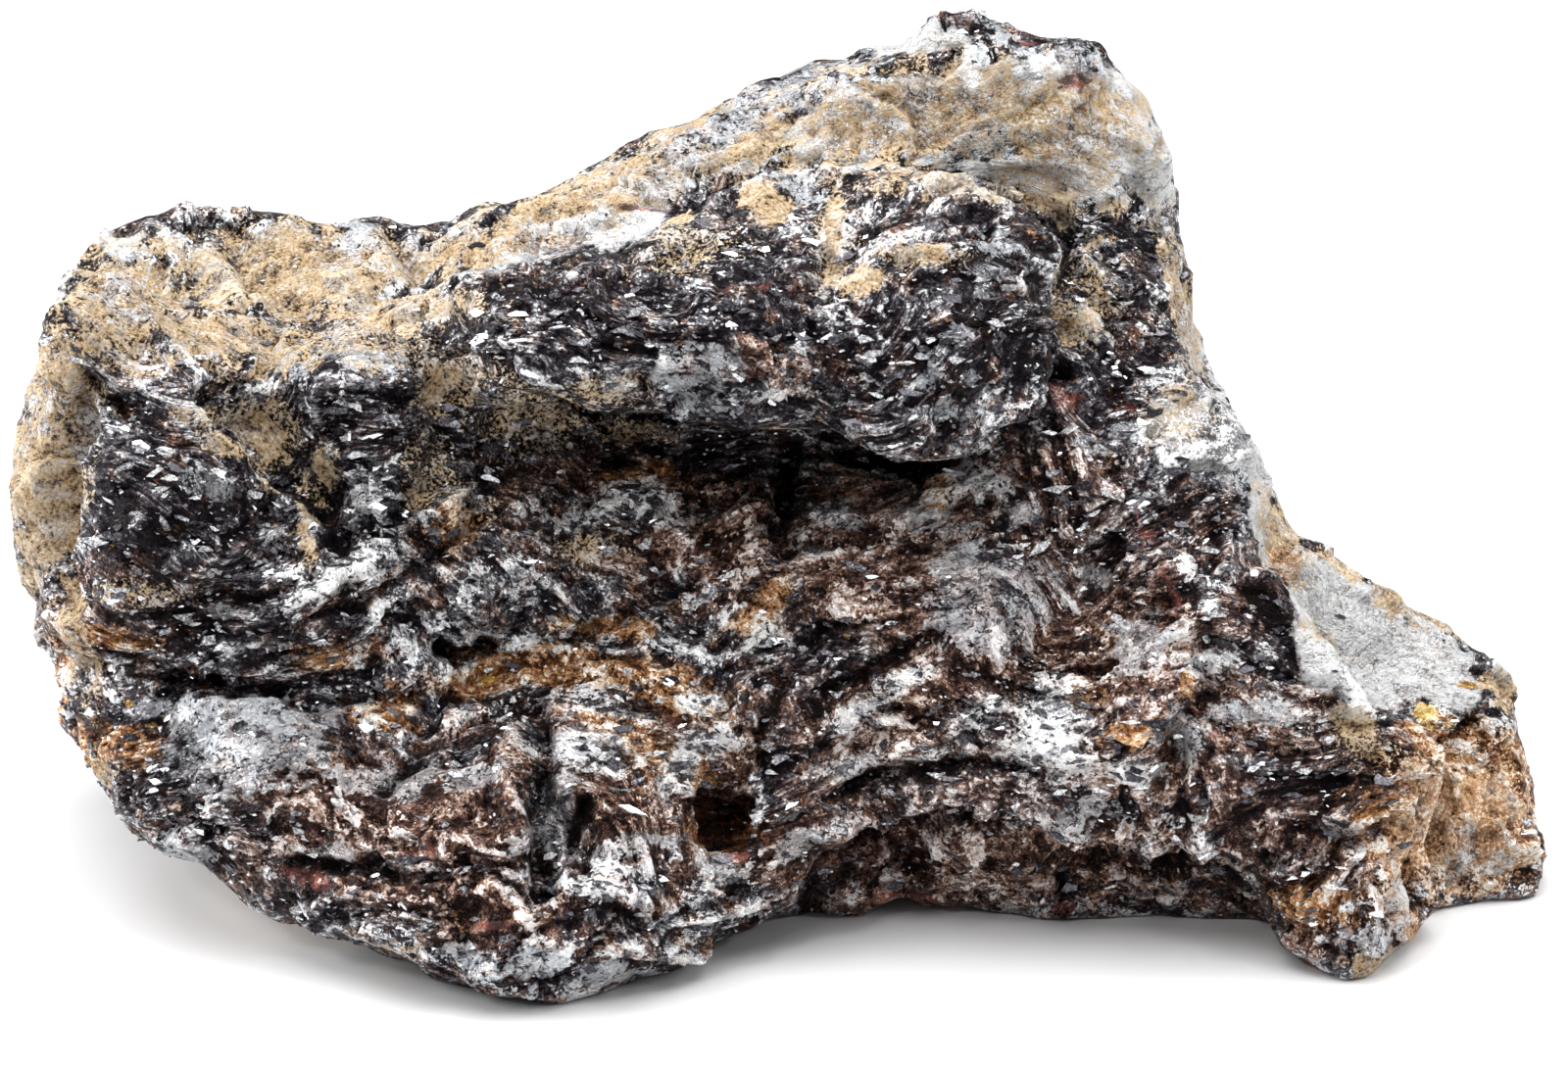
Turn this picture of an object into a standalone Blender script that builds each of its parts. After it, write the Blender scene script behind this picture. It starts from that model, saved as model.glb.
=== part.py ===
"""A hand specimen of botryoidal hematite, built as one solid stone.

The stone is a distance field: rounded lobes run together with soft seams, and hollows, creases and
pits are sunk into them, as the mineral grew and broke. The field is drawn out as a mesh on a grid,
cut flat where the stone bears on the ground, and thinned with a Decimate modifier.

Places are in millimetres in a leaning frame, as the front of the stone is seen from a little above:
right, up the face, and out of the face towards the viewer. LEAN is how far that frame tips back.
"""

import math

import bpy
import numpy as np
from mathutils import Matrix, Vector

MM = 0.001

LENGTH = 120.0
LEAN = math.radians(20.0)
FACE_HEIGHT = 26.2
VIEW_DISTANCE = 420.0
GRID_STEP = 1.2
MOST_TRIANGLES = 9600
FOOT_REACH = 0.6

BOX_LOW = (-66.0, -44.0, -46.0)
BOX_HIGH = (66.0, 48.0, 38.0)

FAR_AWAY = 1e9
JUST_INSIDE = -0.1

# Round bumps over the whole stone: how steep, size of their cells, the distance left level, seed
BUMPS = ((0.26, 9.0, 4.4, 4), (0.28, 4.6, 2.3, 7))

# Corners of the stone's outline as it is seen from the front

OUTLINE = (
    (-60.2, 1.5), (-60.0, 7.0), (-57.7, 15.0), (-55.8, 20.6), (-53.0, 23.5), (-48.0, 24.0),
    (-45.8, 25.5), (-31.2, 25.5), (-29.8, 23.6), (-28.3, 23.3), (-23.0, 25.6), (-17.7, 26.8),
    (-12.3, 29.9), (-7.7, 33.0), (-2.3, 34.5), (2.3, 37.2), (7.7, 38.7), (12.3, 40.3), (16.2, 40.7),
    (19.0, 39.1), (24.6, 37.6), (26.6, 35.3), (28.9, 32.2), (30.7, 28.0), (30.1, 24.5), (31.6, 21.1),
    (32.5, 15.7), (32.8, 12.2), (35.4, 9.9), (37.4, 6.4), (38.5, 2.6), (40.4, -0.5), (46.2, -4.0),
    (53.9, -8.2), (57.0, -10.5), (56.8, -12.6), (57.8, -18.2), (58.6, -22.1), (59.8, -24.4),
    (59.3, -27.9), (57.0, -29.1), (50.5, -29.9), (49.7, -32.1), (47.4, -34.0), (43.2, -35.5),
    (40.1, -33.3), (36.9, -31.3), (33.8, -29.9), (27.0, -31.4), (22.4, -30.6), (7.7, -30.6),
    (2.4, -29.9), (-2.3, -31.8), (-8.5, -34.8), (-15.3, -36.6), (-21.5, -37.2), (-27.0, -35.6),
    (-30.8, -33.3), (-35.4, -32.5), (-40.0, -32.1), (-43.8, -29.1), (-46.1, -25.6), (-50.8, -23.2),
    (-53.9, -19.8), (-57.0, -15.2), (-57.9, -7.6), (-59.2, -3.8),
)


def grid():
    """Every grid point, as three arrays: right, up and out."""
    axes = [np.arange(low, high, GRID_STEP) for low, high in zip(BOX_LOW, BOX_HIGH)]
    return np.stack(np.meshgrid(*axes, indexing="ij"))


def turned(points, at, roll=0.0, pitch=0.0):
    """Points as a shape at that place meets them, rolled within the face and pitched back from it."""
    turn = Matrix.Rotation(math.radians(roll), 3, "Z") @ Matrix.Rotation(math.radians(pitch), 3, "X")
    moved = points - np.array(at, float)[:, None, None, None]
    return np.einsum("ji,jxyz->ixyz", np.array(turn), moved)


def lobe(points, at, radii, **turns):
    """Distance to a stretched ball."""
    local = turned(points, at, **turns)
    radii = np.array(radii, float)[:, None, None, None]
    near = np.linalg.norm(local / radii, axis=0)
    slope = np.linalg.norm(local / radii**2, axis=0)
    return near * (near - 1.0) / np.maximum(slope, 1e-6)


def plane(points, at, facing):
    """Distance past a flat break that faces the given way. Behind it is stone."""
    facing = np.array(facing, float) / np.linalg.norm(facing)
    return np.tensordot(facing, points - np.array(at, float)[:, None, None, None], axes=1)


def vein(points, path, radii):
    """Distance to a round rope through the path's points, with a radius at each."""
    found = None
    for start, end, first, last in zip(path, path[1:], radii, radii[1:]):
        start, along = np.array(start, float), np.array(end, float) - np.array(start, float)
        away = points - start[:, None, None, None]
        share = np.clip(np.tensordot(along, away, axes=1) / (along @ along), 0.0, 1.0)
        away = away - along[:, None, None, None] * share
        distance = np.linalg.norm(away, axis=0) - (first + (last - first) * share)
        found = distance if found is None else np.minimum(found, distance)
    return found


def seen(across, up, out):
    """The place that far out of the face which is seen from the front at across and up."""
    nearer = 1.0 - out / VIEW_DISTANCE
    return across * nearer, up * nearer, out


def standing(across, back, above):
    """A place given as the stone stands: across, towards the back, and above the ground."""
    above = above - FACE_HEIGHT
    sine, cosine = math.sin(LEAN), math.cos(LEAN)
    return across, back * sine + above * cosine, above * sine - back * cosine


def outline(points):
    """Distance past the stone's outline as it is seen from the front."""
    nearer = 1.0 - points[2] / VIEW_DISTANCE
    across, up = points[0] / nearer, points[1] / nearer
    nearest = np.full(across.shape, FAR_AWAY)
    crossings = np.zeros(across.shape, int)
    for (ax, ay), (bx, by) in zip(OUTLINE, OUTLINE[1:] + OUTLINE[:1]):
        ex, ey = bx - ax, by - ay
        share = np.clip(((across - ax) * ex + (up - ay) * ey) / (ex * ex + ey * ey), 0.0, 1.0)
        nearest = np.minimum(nearest, np.hypot(across - ax - share * ex, up - ay - share * ey))
        if ay != by:
            meets = ((ay > up) != (by > up)) & (across < ax + (up - ay) * ex / ey)
            crossings += meets
    return np.where(crossings % 2 == 1, -nearest, nearest) * nearer


def cells(points, size, seed):
    """Distance to the nearest of scattered points, in cells of that size: round bumps with creases."""
    low = np.floor(points.min(axis=(1, 2, 3)) / size).astype(int) - 1
    high = np.floor(points.max(axis=(1, 2, 3)) / size).astype(int) + 2
    scatter = np.random.default_rng(seed).uniform(0.1, 0.9, (*(high - low + 1), 3))
    cell = np.floor(points / size).astype(int)
    nearest = np.full(points.shape[1:], FAR_AWAY)
    for step in np.ndindex(3, 3, 3):
        there = cell + np.array(step)[:, None, None, None] - 1
        index = there - low[:, None, None, None]
        centre = (there + np.moveaxis(scatter[index[0], index[1], index[2]], -1, 0)) * size
        nearest = np.minimum(nearest, np.linalg.norm(points - centre, axis=0))
    return nearest


def soft_min(a, b, seam):
    """The nearer of two distances, with a rounded seam of the given width."""
    h = np.maximum(seam - np.abs(a - b), 0.0) / seam
    return np.minimum(a, b) - h * h * seam / 4.0


def add(stone, shape, seam=5.0):
    """The stone with the shape joined on."""
    return soft_min(stone, shape, seam)


def cut(stone, shape, seam=3.0):
    """The stone with the shape sunk into it."""
    return -soft_min(-stone, shape, seam)


def keep(stone, shape, seam=3.0):
    """What the stone and the shape have in common."""
    return -soft_min(-stone, -shape, seam)


def block(points, at, half, rounding, **turns):
    """Distance to a box with rounded edges."""
    over = np.abs(turned(points, at, **turns)) - (np.array(half, float) - rounding)[:, None, None, None]
    outside = np.linalg.norm(np.maximum(over, 0.0), axis=0)
    return outside + np.minimum(over.max(axis=0), 0.0) - rounding


def main_mass(p):
    """The body of the stone: the left block, the rising upper mass and the right shoulder."""
    stone = block(p, (-41, 2, -5), (20, 22, 20), 7, pitch=20, roll=-3)
    stone = add(stone, block(p, (-12, -5, -8), (32, 21, 20), 12, pitch=20, roll=6), 8)
    stone = add(stone, block(p, (0, 22, -10), (32, 15, 14), 7, roll=24, pitch=20), 6)
    stone = add(stone, block(p, (21, 28, -8), (12, 13, 12), 7, pitch=20), 5)
    stone = add(stone, block(p, (22, -7, -2), (17, 20, 15), 10, roll=20, pitch=10), 8)
    stone = add(stone, block(p, (26, 6, -13), (12, 18, 8), 4, roll=12), 4)
    stone = add(stone, lobe(p, seen(23, 9, 4), (8, 14, 9)), 6)
    stone = keep(stone, plane(p, (-49, -22.5, 0), (-0.73, -0.69, 0.0)), 8)
    stone = keep(stone, plane(p, (10, 27, -19.5), (0.05, 0.61, -0.79)), 5)
    stone = keep(stone, plane(p, (0, -1, -30), (-0.2, 0.1, -1.0)), 6)
    return stone


def top_hollows(p, stone):
    """The dished flat top of the left block and the shallow valley between the two upper crests."""
    stone = cut(stone, lobe(p, standing(-38, 4, 48), (16, 5, 14), pitch=20), 4)
    stone = cut(stone, lobe(p, standing(2, -1, 58), (15, 3.5, 7), roll=22, pitch=20), 4)
    return stone


def low_end(p, stone):
    """The low back end at the right, with the smooth slab that slopes down to it."""
    stone = add(stone, block(p, (45, -17, -8), (19, 12, 12), 2, roll=-33, pitch=-10), 3)
    stone = add(stone, block(p, (54, -22, -5), (8, 9, 8), 2, roll=10), 3)
    stone = add(stone, block(p, (18, -26, -4), (22, 9, 11), 3, pitch=20), 3)
    return stone


def belly(p, stone):
    """The swollen lower front, down to where the stone bears on the ground."""
    stone = add(stone, lobe(p, seen(-37, -20, 6), (19, 12, 15), roll=-22), 6)
    stone = add(stone, lobe(p, seen(-21, -27.5, 10), (17, 12, 16), roll=5), 6)
    stone = add(stone, lobe(p, seen(-10, -18, 8), (12, 12, 11)), 6)
    stone = add(stone, lobe(p, seen(13, -12, 5), (15, 10, 12), roll=-15), 6)
    stone = add(stone, lobe(p, seen(13, -5, 3), (15, 9, 11)), 6)
    stone = add(stone, lobe(p, seen(22, -19, 8), (18, 5.5, 10)), 4)
    stone = add(stone, vein(p, [seen(-3, -7, 9), seen(-1, -16, 13), seen(-0.5, -26, 12)], [3.5, 4.5, 4]), 5)
    return stone


def upper_ledge(p, stone):
    """The dark shelf over the recess, and the big tongue of hematite that hangs at its right end."""
    shelf = [seen(-23, 15.5, 19), seen(-14, 15, 21), seen(-4, 14.5, 21), seen(3, 13.5, 18)]
    stone = add(stone, vein(p, shelf, [4.5, 5.4, 6.0, 5]), 4)
    stone = add(stone, block(p, seen(-6, 20, 6), (19, 5, 11), 4, roll=12, pitch=20), 5)
    stone = add(stone, lobe(p, seen(12, 16, 12), (9, 10, 12), roll=-20), 2)
    stone = add(stone, vein(p, [seen(1, 16, 17), seen(8, 12, 19), seen(14, 12, 16)], [4, 5, 4]), 3)
    return stone


def left_knob(p, stone):
    """The rounded knob at the left front, the trough behind it, and the smaller knob beside it."""
    stone = cut(stone, lobe(p, seen(-38, 16, 20), (13, 5, 11), roll=-15, pitch=15), 4)
    stone = cut(stone, vein(p, [seen(-46, 14, 19), seen(-39, 7, 18), seen(-35, 1, 19)], [3, 4, 3]), 3)
    stone = add(stone, lobe(p, seen(-48, 2, 13), (8, 10.5, 10), roll=20), 2)
    stone = add(stone, vein(p, [seen(-53, -5, 12), seen(-38, -6, 16), seen(-27, -2, 12)], [5, 5, 3]), 3)
    stone = add(stone, lobe(p, seen(-32, 8, 10), (5.5, 7, 7)), 2)
    return stone


def recess(p, stone):
    """The deep hollow under the shelf, with a floor that comes forward as it falls."""
    stone = cut(stone, lobe(p, seen(-12, 6.5, 17), (17, 7, 13), roll=3, pitch=42), 4)
    stone = cut(stone, lobe(p, seen(5, 6, 16), (13, 6, 11), roll=-4, pitch=42), 4)
    return stone


def right_lobe(p, stone):
    """The blunt lobe at the right front, with its sharp upper edge, and the toe under it."""
    stone = add(stone, block(p, seen(36, -16, 7), (14, 8, 12), 5, roll=-40, pitch=-8), 5)
    stone = add(stone, lobe(p, seen(29, 4, 4), (9.5, 8, 9), roll=-40), 4)
    stone = add(stone, lobe(p, seen(39.5, -2.5, 3), (2.5, 4, 4), roll=20), 1.5)
    stone = add(stone, lobe(p, seen(44, -30, 10), (7, 9, 9.5)), 3)
    return stone


def breaks(p, stone):
    """Creases, folds and the rust-lined hole."""
    stone = cut(stone, vein(p, [seen(-45, -23, 22), seen(-32, -26, 24), seen(-22, -22, 25)], [1, 1.6, 1]), 2)
    stone = cut(stone, vein(p, [seen(-19.5, -15, 24), seen(-19, -28, 25)], [1.2, 1.4]), 2)
    stone = cut(stone, lobe(p, seen(-16, -24, 25), (2.2, 2.4, 3.5)), 1.5)
    stone = cut(stone, lobe(p, seen(-5, -22.5, 18), (2.4, 2.8, 5), roll=-20), 1)
    stone = cut(stone, vein(p, [seen(3, 5, 11), seen(1, 1, 14), seen(3, -4, 15)], [1.4, 1.4, 0.8]), 2)
    under_knob = [seen(-56, -10, 18), seen(-40, -11.5, 20), seen(-26, -8, 17)]
    stone = cut(stone, vein(p, under_knob, [1.2, 2.0, 1]), 2)
    lip = [seen(3, -27, 14), seen(8, -24, 17), seen(18, -25, 18), seen(30, -26.5, 18), seen(40, -25.5, 20)]
    stone = cut(stone, vein(p, lip, [1.5, 2.6, 3.2, 2.6, 1.5]), 1.5)
    return stone


def underside(p, stone):
    """Shallow arches that leave the stone standing on its belly, its toe, its heel and a back foot."""
    stone = cut(stone, lobe(p, standing(-50, -6, -1), (22, 6, 34), pitch=20), 4)
    stone = cut(stone, lobe(p, standing(-20, -1, -2), (18, 6, 14), pitch=20), 4)
    stone = cut(stone, lobe(p, standing(10, 0, -2), (20, 6, 13.5), pitch=20), 4)
    stone = cut(stone, lobe(p, standing(34, 2, -2), (17, 6, 14), pitch=20), 4)
    return stone


def stone_field(p):
    """Distance to the whole stone, bumps and all, cut flat at the ground."""
    stone = main_mass(p)
    stone = top_hollows(p, stone)
    stone = low_end(p, stone)
    stone = belly(p, stone)
    stone = recess(p, stone)
    stone = upper_ledge(p, stone)
    stone = left_knob(p, stone)
    stone = right_lobe(p, stone)
    stone = breaks(p, stone)
    stone = underside(p, stone)
    stone = keep(stone, outline(p), 3)
    for steepness, size, level, seed in BUMPS:
        stone = stone + steepness * (cells(p, size, seed) - level)
    down = standing(0, 0, FACE_HEIGHT - 1.0)
    return np.maximum(stone, plane(p, standing(0, 0, 0), down))


def closed(field):
    """Fill the few spots where two sheets of the surface would touch along a single line."""
    field = field.copy()
    for first, second in ((0, 1), (0, 2), (1, 2)) * 3:
        here, over = field < 0.0, np.roll(field, -1, first) < 0.0
        up, across = np.roll(field, -1, second) < 0.0, np.roll(field, (-1, -1), (first, second)) < 0.0
        touching = (here == across) & (over == up) & (here != over)
        for shift in ((0, 0), (1, 0), (0, 1), (1, 1)):
            filled = np.roll(touching, shift, (first, second))
            field[filled] = np.minimum(field[filled], JUST_INSIDE)
    return field


def surface_net(field):
    """Corners and four-sided faces of the surface where the field is zero."""
    inside = field < 0.0
    corners = [(i, j, k) for i in (0, 1) for j in (0, 1) for k in (0, 1)]
    rooms = tuple(size - 1 for size in field.shape)

    def at_corner(values, corner):
        return values[tuple(slice(c, c + n) for c, n in zip(corner, rooms))]

    total = np.zeros(rooms + (3,))
    count = np.zeros(rooms)
    for a in corners:
        for b in corners:
            if sum(b) != sum(a) + 1 or any(y < x for x, y in zip(a, b)):
                continue
            near, far = at_corner(field, a), at_corner(field, b)
            crossed = (near < 0.0) != (far < 0.0)
            share = np.where(crossed, near / np.where(crossed, near - far, 1.0), 0.0)
            point = np.array(a) + share[..., None] * (np.array(b) - np.array(a))
            total += point * crossed[..., None]
            count += crossed
    used = count > 0
    number = np.full(rooms, -1)
    number[used] = np.arange(used.sum())
    points = np.argwhere(used) + total[used] / count[used][:, None]
    faces = []
    for axis in range(3):
        one, two = (axis + 1) % 3, (axis + 2) % 3
        low = [slice(None)] * 3
        high = [slice(None)] * 3
        low[axis], high[axis] = slice(0, -1), slice(1, None)
        first, second = inside[tuple(low)], inside[tuple(high)]
        where = np.argwhere(first != second)
        where = where[(where[:, one] > 0) & (where[:, two] > 0)]
        where = where[(where[:, one] < rooms[one]) & (where[:, two] < rooms[two])]
        ring = []
        for back_one, back_two in ((1, 1), (0, 1), (0, 0), (1, 0)):
            cell = where.copy()
            cell[:, one] -= back_one
            cell[:, two] -= back_two
            ring.append(number[tuple(cell.T)])
        ring = np.stack(ring, axis=1)
        outward = first[tuple(where.T)]
        ring[~outward] = ring[~outward][:, ::-1]
        faces.append(ring)
    return points, np.concatenate(faces)


def upright(points):
    """Points of the leaning frame, stood up in metres, with the ground at zero height."""
    turn = np.array(Matrix.Rotation(math.pi / 2 - LEAN, 3, "X"))
    stood = points @ turn.T
    stood[:, 2] += FACE_HEIGHT
    return stood * MM


def thinned(stone):
    """Thin the stone to its share of triangles and leave it as a plain mesh."""
    count = sum(len(face.vertices) - 2 for face in stone.data.polygons)
    thin = stone.modifiers.new("thin", "DECIMATE")
    thin.ratio = min(1.0, MOST_TRIANGLES / count)
    thin.use_collapse_triangulate = True
    ready = stone.evaluated_get(bpy.context.evaluated_depsgraph_get())
    mesh = bpy.data.meshes.new_from_object(ready)
    stone.modifiers.clear()
    stone.data = mesh


def flatten_feet(mesh):
    """Bring everything within FOOT_REACH of the ground exactly onto it."""
    for vertex in mesh.vertices:
        if vertex.co.z < FOOT_REACH * MM:
            vertex.co.z = 0.0


def centre(mesh):
    """Move the stone so the middle of its base is the origin and its length is LENGTH."""
    places = np.array([vertex.co for vertex in mesh.vertices])
    low, high = places.min(axis=0), places.max(axis=0)
    middle = Vector(((low[0] + high[0]) / 2, (low[1] + high[1]) / 2, 0.0))
    grow = LENGTH * MM / (high[0] - low[0])
    mesh.transform(Matrix.Scale(grow, 4) @ Matrix.Translation(-middle))


def hematite():
    """Dark grey, half-metallic mineral."""
    look = bpy.data.materials.new("hematite")
    look.use_nodes = True
    shader = look.node_tree.nodes["Principled BSDF"]
    shader.inputs["Base Color"].default_value = (0.07, 0.06, 0.06, 1.0)
    shader.inputs["Metallic"].default_value = 0.5
    shader.inputs["Roughness"].default_value = 0.45
    look.diffuse_color = (0.16, 0.14, 0.14, 1.0)
    return look


def make_stone():
    """The finished stone: drawn out from its field, stood up, thinned and set on its base."""
    points, faces = surface_net(closed(stone_field(grid())))
    points = upright(points * GRID_STEP + np.array(BOX_LOW))
    mesh = bpy.data.meshes.new("hematite")
    mesh.from_pydata(points.tolist(), [], faces.tolist())
    stone = bpy.data.objects.new("hematite", mesh)
    bpy.context.scene.collection.objects.link(stone)
    flatten_feet(stone.data)
    thinned(stone)
    flatten_feet(stone.data)
    centre(stone.data)
    stone.data.name = "hematite"
    stone.data.materials.append(hematite())
    return stone


def main():
    """Leave the stone alone in an empty scene."""
    for old in list(bpy.data.objects):
        bpy.data.objects.remove(old)
    make_stone()


if __name__ == "__main__":
    main()
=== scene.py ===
"""Botryoidal hematite hand specimen: its fine surface, its finish, the light and the camera.

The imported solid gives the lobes, ledges and hollows. This script covers it with one fine skin of
folds, fibres, scales, pits and crust, and with loose metallic flakes that stand in that skin.
Lengths are in millimetres until a mesh is written, and meshes are in metres.
"""
import math
from itertools import product

import bmesh
import bpy
import numpy as np
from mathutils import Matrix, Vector


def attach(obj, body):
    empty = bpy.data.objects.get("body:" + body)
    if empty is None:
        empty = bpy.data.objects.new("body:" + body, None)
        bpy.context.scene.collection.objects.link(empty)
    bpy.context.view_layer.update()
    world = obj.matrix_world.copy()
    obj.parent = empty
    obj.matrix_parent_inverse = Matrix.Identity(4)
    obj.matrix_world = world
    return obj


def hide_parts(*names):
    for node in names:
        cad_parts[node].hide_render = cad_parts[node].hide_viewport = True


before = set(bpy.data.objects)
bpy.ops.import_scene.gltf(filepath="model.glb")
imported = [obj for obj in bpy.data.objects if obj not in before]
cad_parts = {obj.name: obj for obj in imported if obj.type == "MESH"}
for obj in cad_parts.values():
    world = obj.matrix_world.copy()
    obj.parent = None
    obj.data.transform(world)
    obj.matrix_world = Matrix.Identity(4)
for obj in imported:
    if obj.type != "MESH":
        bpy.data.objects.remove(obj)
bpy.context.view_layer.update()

MM = 0.001
STONE = "hematite"

# The camera, which looks down at the stone from the front

TARGET = np.array([-0.361, 2.261, 25.774])
CAMERA_RISE = math.radians(20)
CAMERA_DISTANCE = 413.17
PHOTO_WIDTH = 1600
PHOTO_MIDDLE = (800, 543)
FOCAL_PIXELS = 5460
SENSOR = 36.0

ACROSS = np.array([1.0, 0.0, 0.0])
UP_THE_FACE = np.array([0.0, math.sin(CAMERA_RISE), math.cos(CAMERA_RISE)])
TOWARD = np.array([0.0, -math.cos(CAMERA_RISE), math.sin(CAMERA_RISE)])


def leaning(points):
    """Points as distances across the view, up it and out of it, from the middle of the stone."""
    return (points - TARGET) @ np.stack([ACROSS, UP_THE_FACE, TOWARD], axis=1)


def photo_place(points):
    """Where the camera sees each point, in pixels across and down."""
    place = leaning(points)
    spread = FOCAL_PIXELS / (CAMERA_DISTANCE - place[:, 2])
    return PHOTO_MIDDLE[0] + place[:, 0] * spread, PHOTO_MIDDLE[1] - place[:, 1] * spread


def unit(directions):
    """The same directions, each 1 long."""
    return directions / np.linalg.norm(directions, axis=1)[:, None]


# Noise in space

TABLE_SIZE = 4096
HASH_STEPS = (73856093, 19349663, 83492791)
HASH_SEED_STEP = 7919
HASH_FACTOR = 2654435761
HASH_SHIFT = 13
NOISE_GAIN = 1.6
FRACTAL_SPREAD = 1.4
RIDGE_SLOPE = 1.6

table = np.random.default_rng(7)
DIRECTIONS = unit(table.normal(size=(TABLE_SIZE, 3))).astype(np.float32)
SCATTER = table.random((TABLE_SIZE, 3)).astype(np.float32)


def lattice(corner, seed):
    """A number into the random tables for each whole-numbered corner of space."""
    stirred = corner[:, 0] * HASH_STEPS[0] ^ corner[:, 1] * HASH_STEPS[1] ^ corner[:, 2] * HASH_STEPS[2]
    stirred = (stirred + seed * HASH_SEED_STEP) * HASH_FACTOR
    return (stirred >> HASH_SHIFT) % TABLE_SIZE


def noise(points, size, seed):
    """Smooth noise between about -1 and 1. size is the length of its waves, one for all or one an axis."""
    place = points / np.asarray(size, float)
    corner = np.floor(place).astype(np.int64)
    part = (place - corner).astype(np.float32)
    ease = part * part * part * (part * (part * 6 - 15) + 10)
    total = np.zeros(len(points), np.float32)
    for step in product((0, 1), repeat=3):
        weight = np.prod(np.where(step, ease, 1 - ease), axis=1)
        total += weight * np.einsum("ij,ij->i", part - step, DIRECTIONS[lattice(corner + step, seed)])
    return total * NOISE_GAIN


def fractal(points, size, seed, octaves=4):
    """Noise with finer noise on it."""
    total = sum(noise(points, np.asarray(size) / 2**k, seed + k) * 0.5**k for k in range(octaves))
    return total / FRACTAL_SPREAD


def ridges(points, size, seed):
    """Sharp crests at 1 with round valleys towards 0."""
    return 1 - np.abs(noise(points, size, seed)) * RIDGE_SLOPE


def tilted_cells(points, size, seed):
    """Cells around scattered seeds, each a small plane that crosses 0 at its seed and tilts its own way."""
    place = (points / np.asarray(size, float)).astype(np.float32)
    corner = np.floor(place).astype(np.int64)
    nearest = np.full(len(points), np.inf)
    number = np.zeros(len(points), np.int64)
    away = np.zeros((len(points), 3), np.float32)
    for step in product((-1, 0, 1), repeat=3):
        found = lattice(corner + step, seed)
        offset = place - (corner + step) - SCATTER[found]
        distance = np.sqrt(np.einsum("ij,ij->i", offset, offset))
        closer = distance < nearest
        nearest[closer] = distance[closer]
        number[closer] = found[closer]
        away[closer] = offset[closer]
    return (DIRECTIONS[number] * away).sum(axis=1)


def smooth_step(low, high, value):
    """0 below low, 1 above high, and a soft rise between them."""
    share = np.clip((value - low) / (high - low), 0, 1)
    return share * share * (3 - 2 * share)


# Mesh arrays

def mesh_arrays(mesh):
    """A mesh's points in millimetres and its faces, all with the same number of corners."""
    points = np.empty(len(mesh.vertices) * 3, np.float32)
    mesh.vertices.foreach_get("co", points)
    corners = np.empty(len(mesh.loops), np.int64)
    mesh.loops.foreach_get("vertex_index", corners)
    return points.reshape(-1, 3).astype(float) / MM, corners.reshape(len(mesh.polygons), -1)


def point_normals(points, faces):
    """The way out of the surface at each point."""
    first, middle, last = (points[faces[:, k]] for k in (0, 1, faces.shape[1] - 1))
    across_face = np.cross(middle - first, last - first)
    normals = np.zeros_like(points)
    for axis in range(3):
        for k in range(faces.shape[1]):
            normals[:, axis] += np.bincount(faces[:, k], across_face[:, axis], len(points))
    return normals / np.maximum(np.linalg.norm(normals, axis=1), 1e-9)[:, None]


def relaxed(values, faces, rounds):
    """Each point's value moved halfway to the average of its neighbours, a number of times."""
    starts = faces.ravel()
    ends = np.roll(faces, -1, axis=1).ravel()
    count = np.bincount(starts, minlength=len(values)) + np.bincount(ends, minlength=len(values))
    for _ in range(rounds):
        for axis in range(values.shape[1]):
            column = values[:, axis]
            near = np.bincount(starts, column[ends], len(values))
            near += np.bincount(ends, column[starts], len(values))
            values[:, axis] = (column + near / count) / 2
    return values


def mesh_object(name, points, faces):
    """A new object of these faces and points, which are given in millimetres."""
    mesh = bpy.data.meshes.new(name)
    mesh.from_pydata((points * MM).tolist(), [], faces)
    made = bpy.data.objects.new(name, mesh)
    bpy.context.scene.collection.objects.link(made)
    return made


def after_modifier(thing, kind, **settings):
    """The thing's mesh with one modifier applied, as a new mesh."""
    modifier = thing.modifiers.new(kind, kind)
    for key, value in settings.items():
        setattr(modifier, key, value)
    evaluated = thing.evaluated_get(bpy.context.evaluated_depsgraph_get())
    mesh = bpy.data.meshes.new_from_object(evaluated)
    thing.modifiers.clear()
    return mesh


# Patches of finish, painted highlight, painted sheen and painted shade on the face, by where the camera sees
# them:
# pixels across and down, half width and half height in pixels, and the turn in degrees of turned ones

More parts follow.
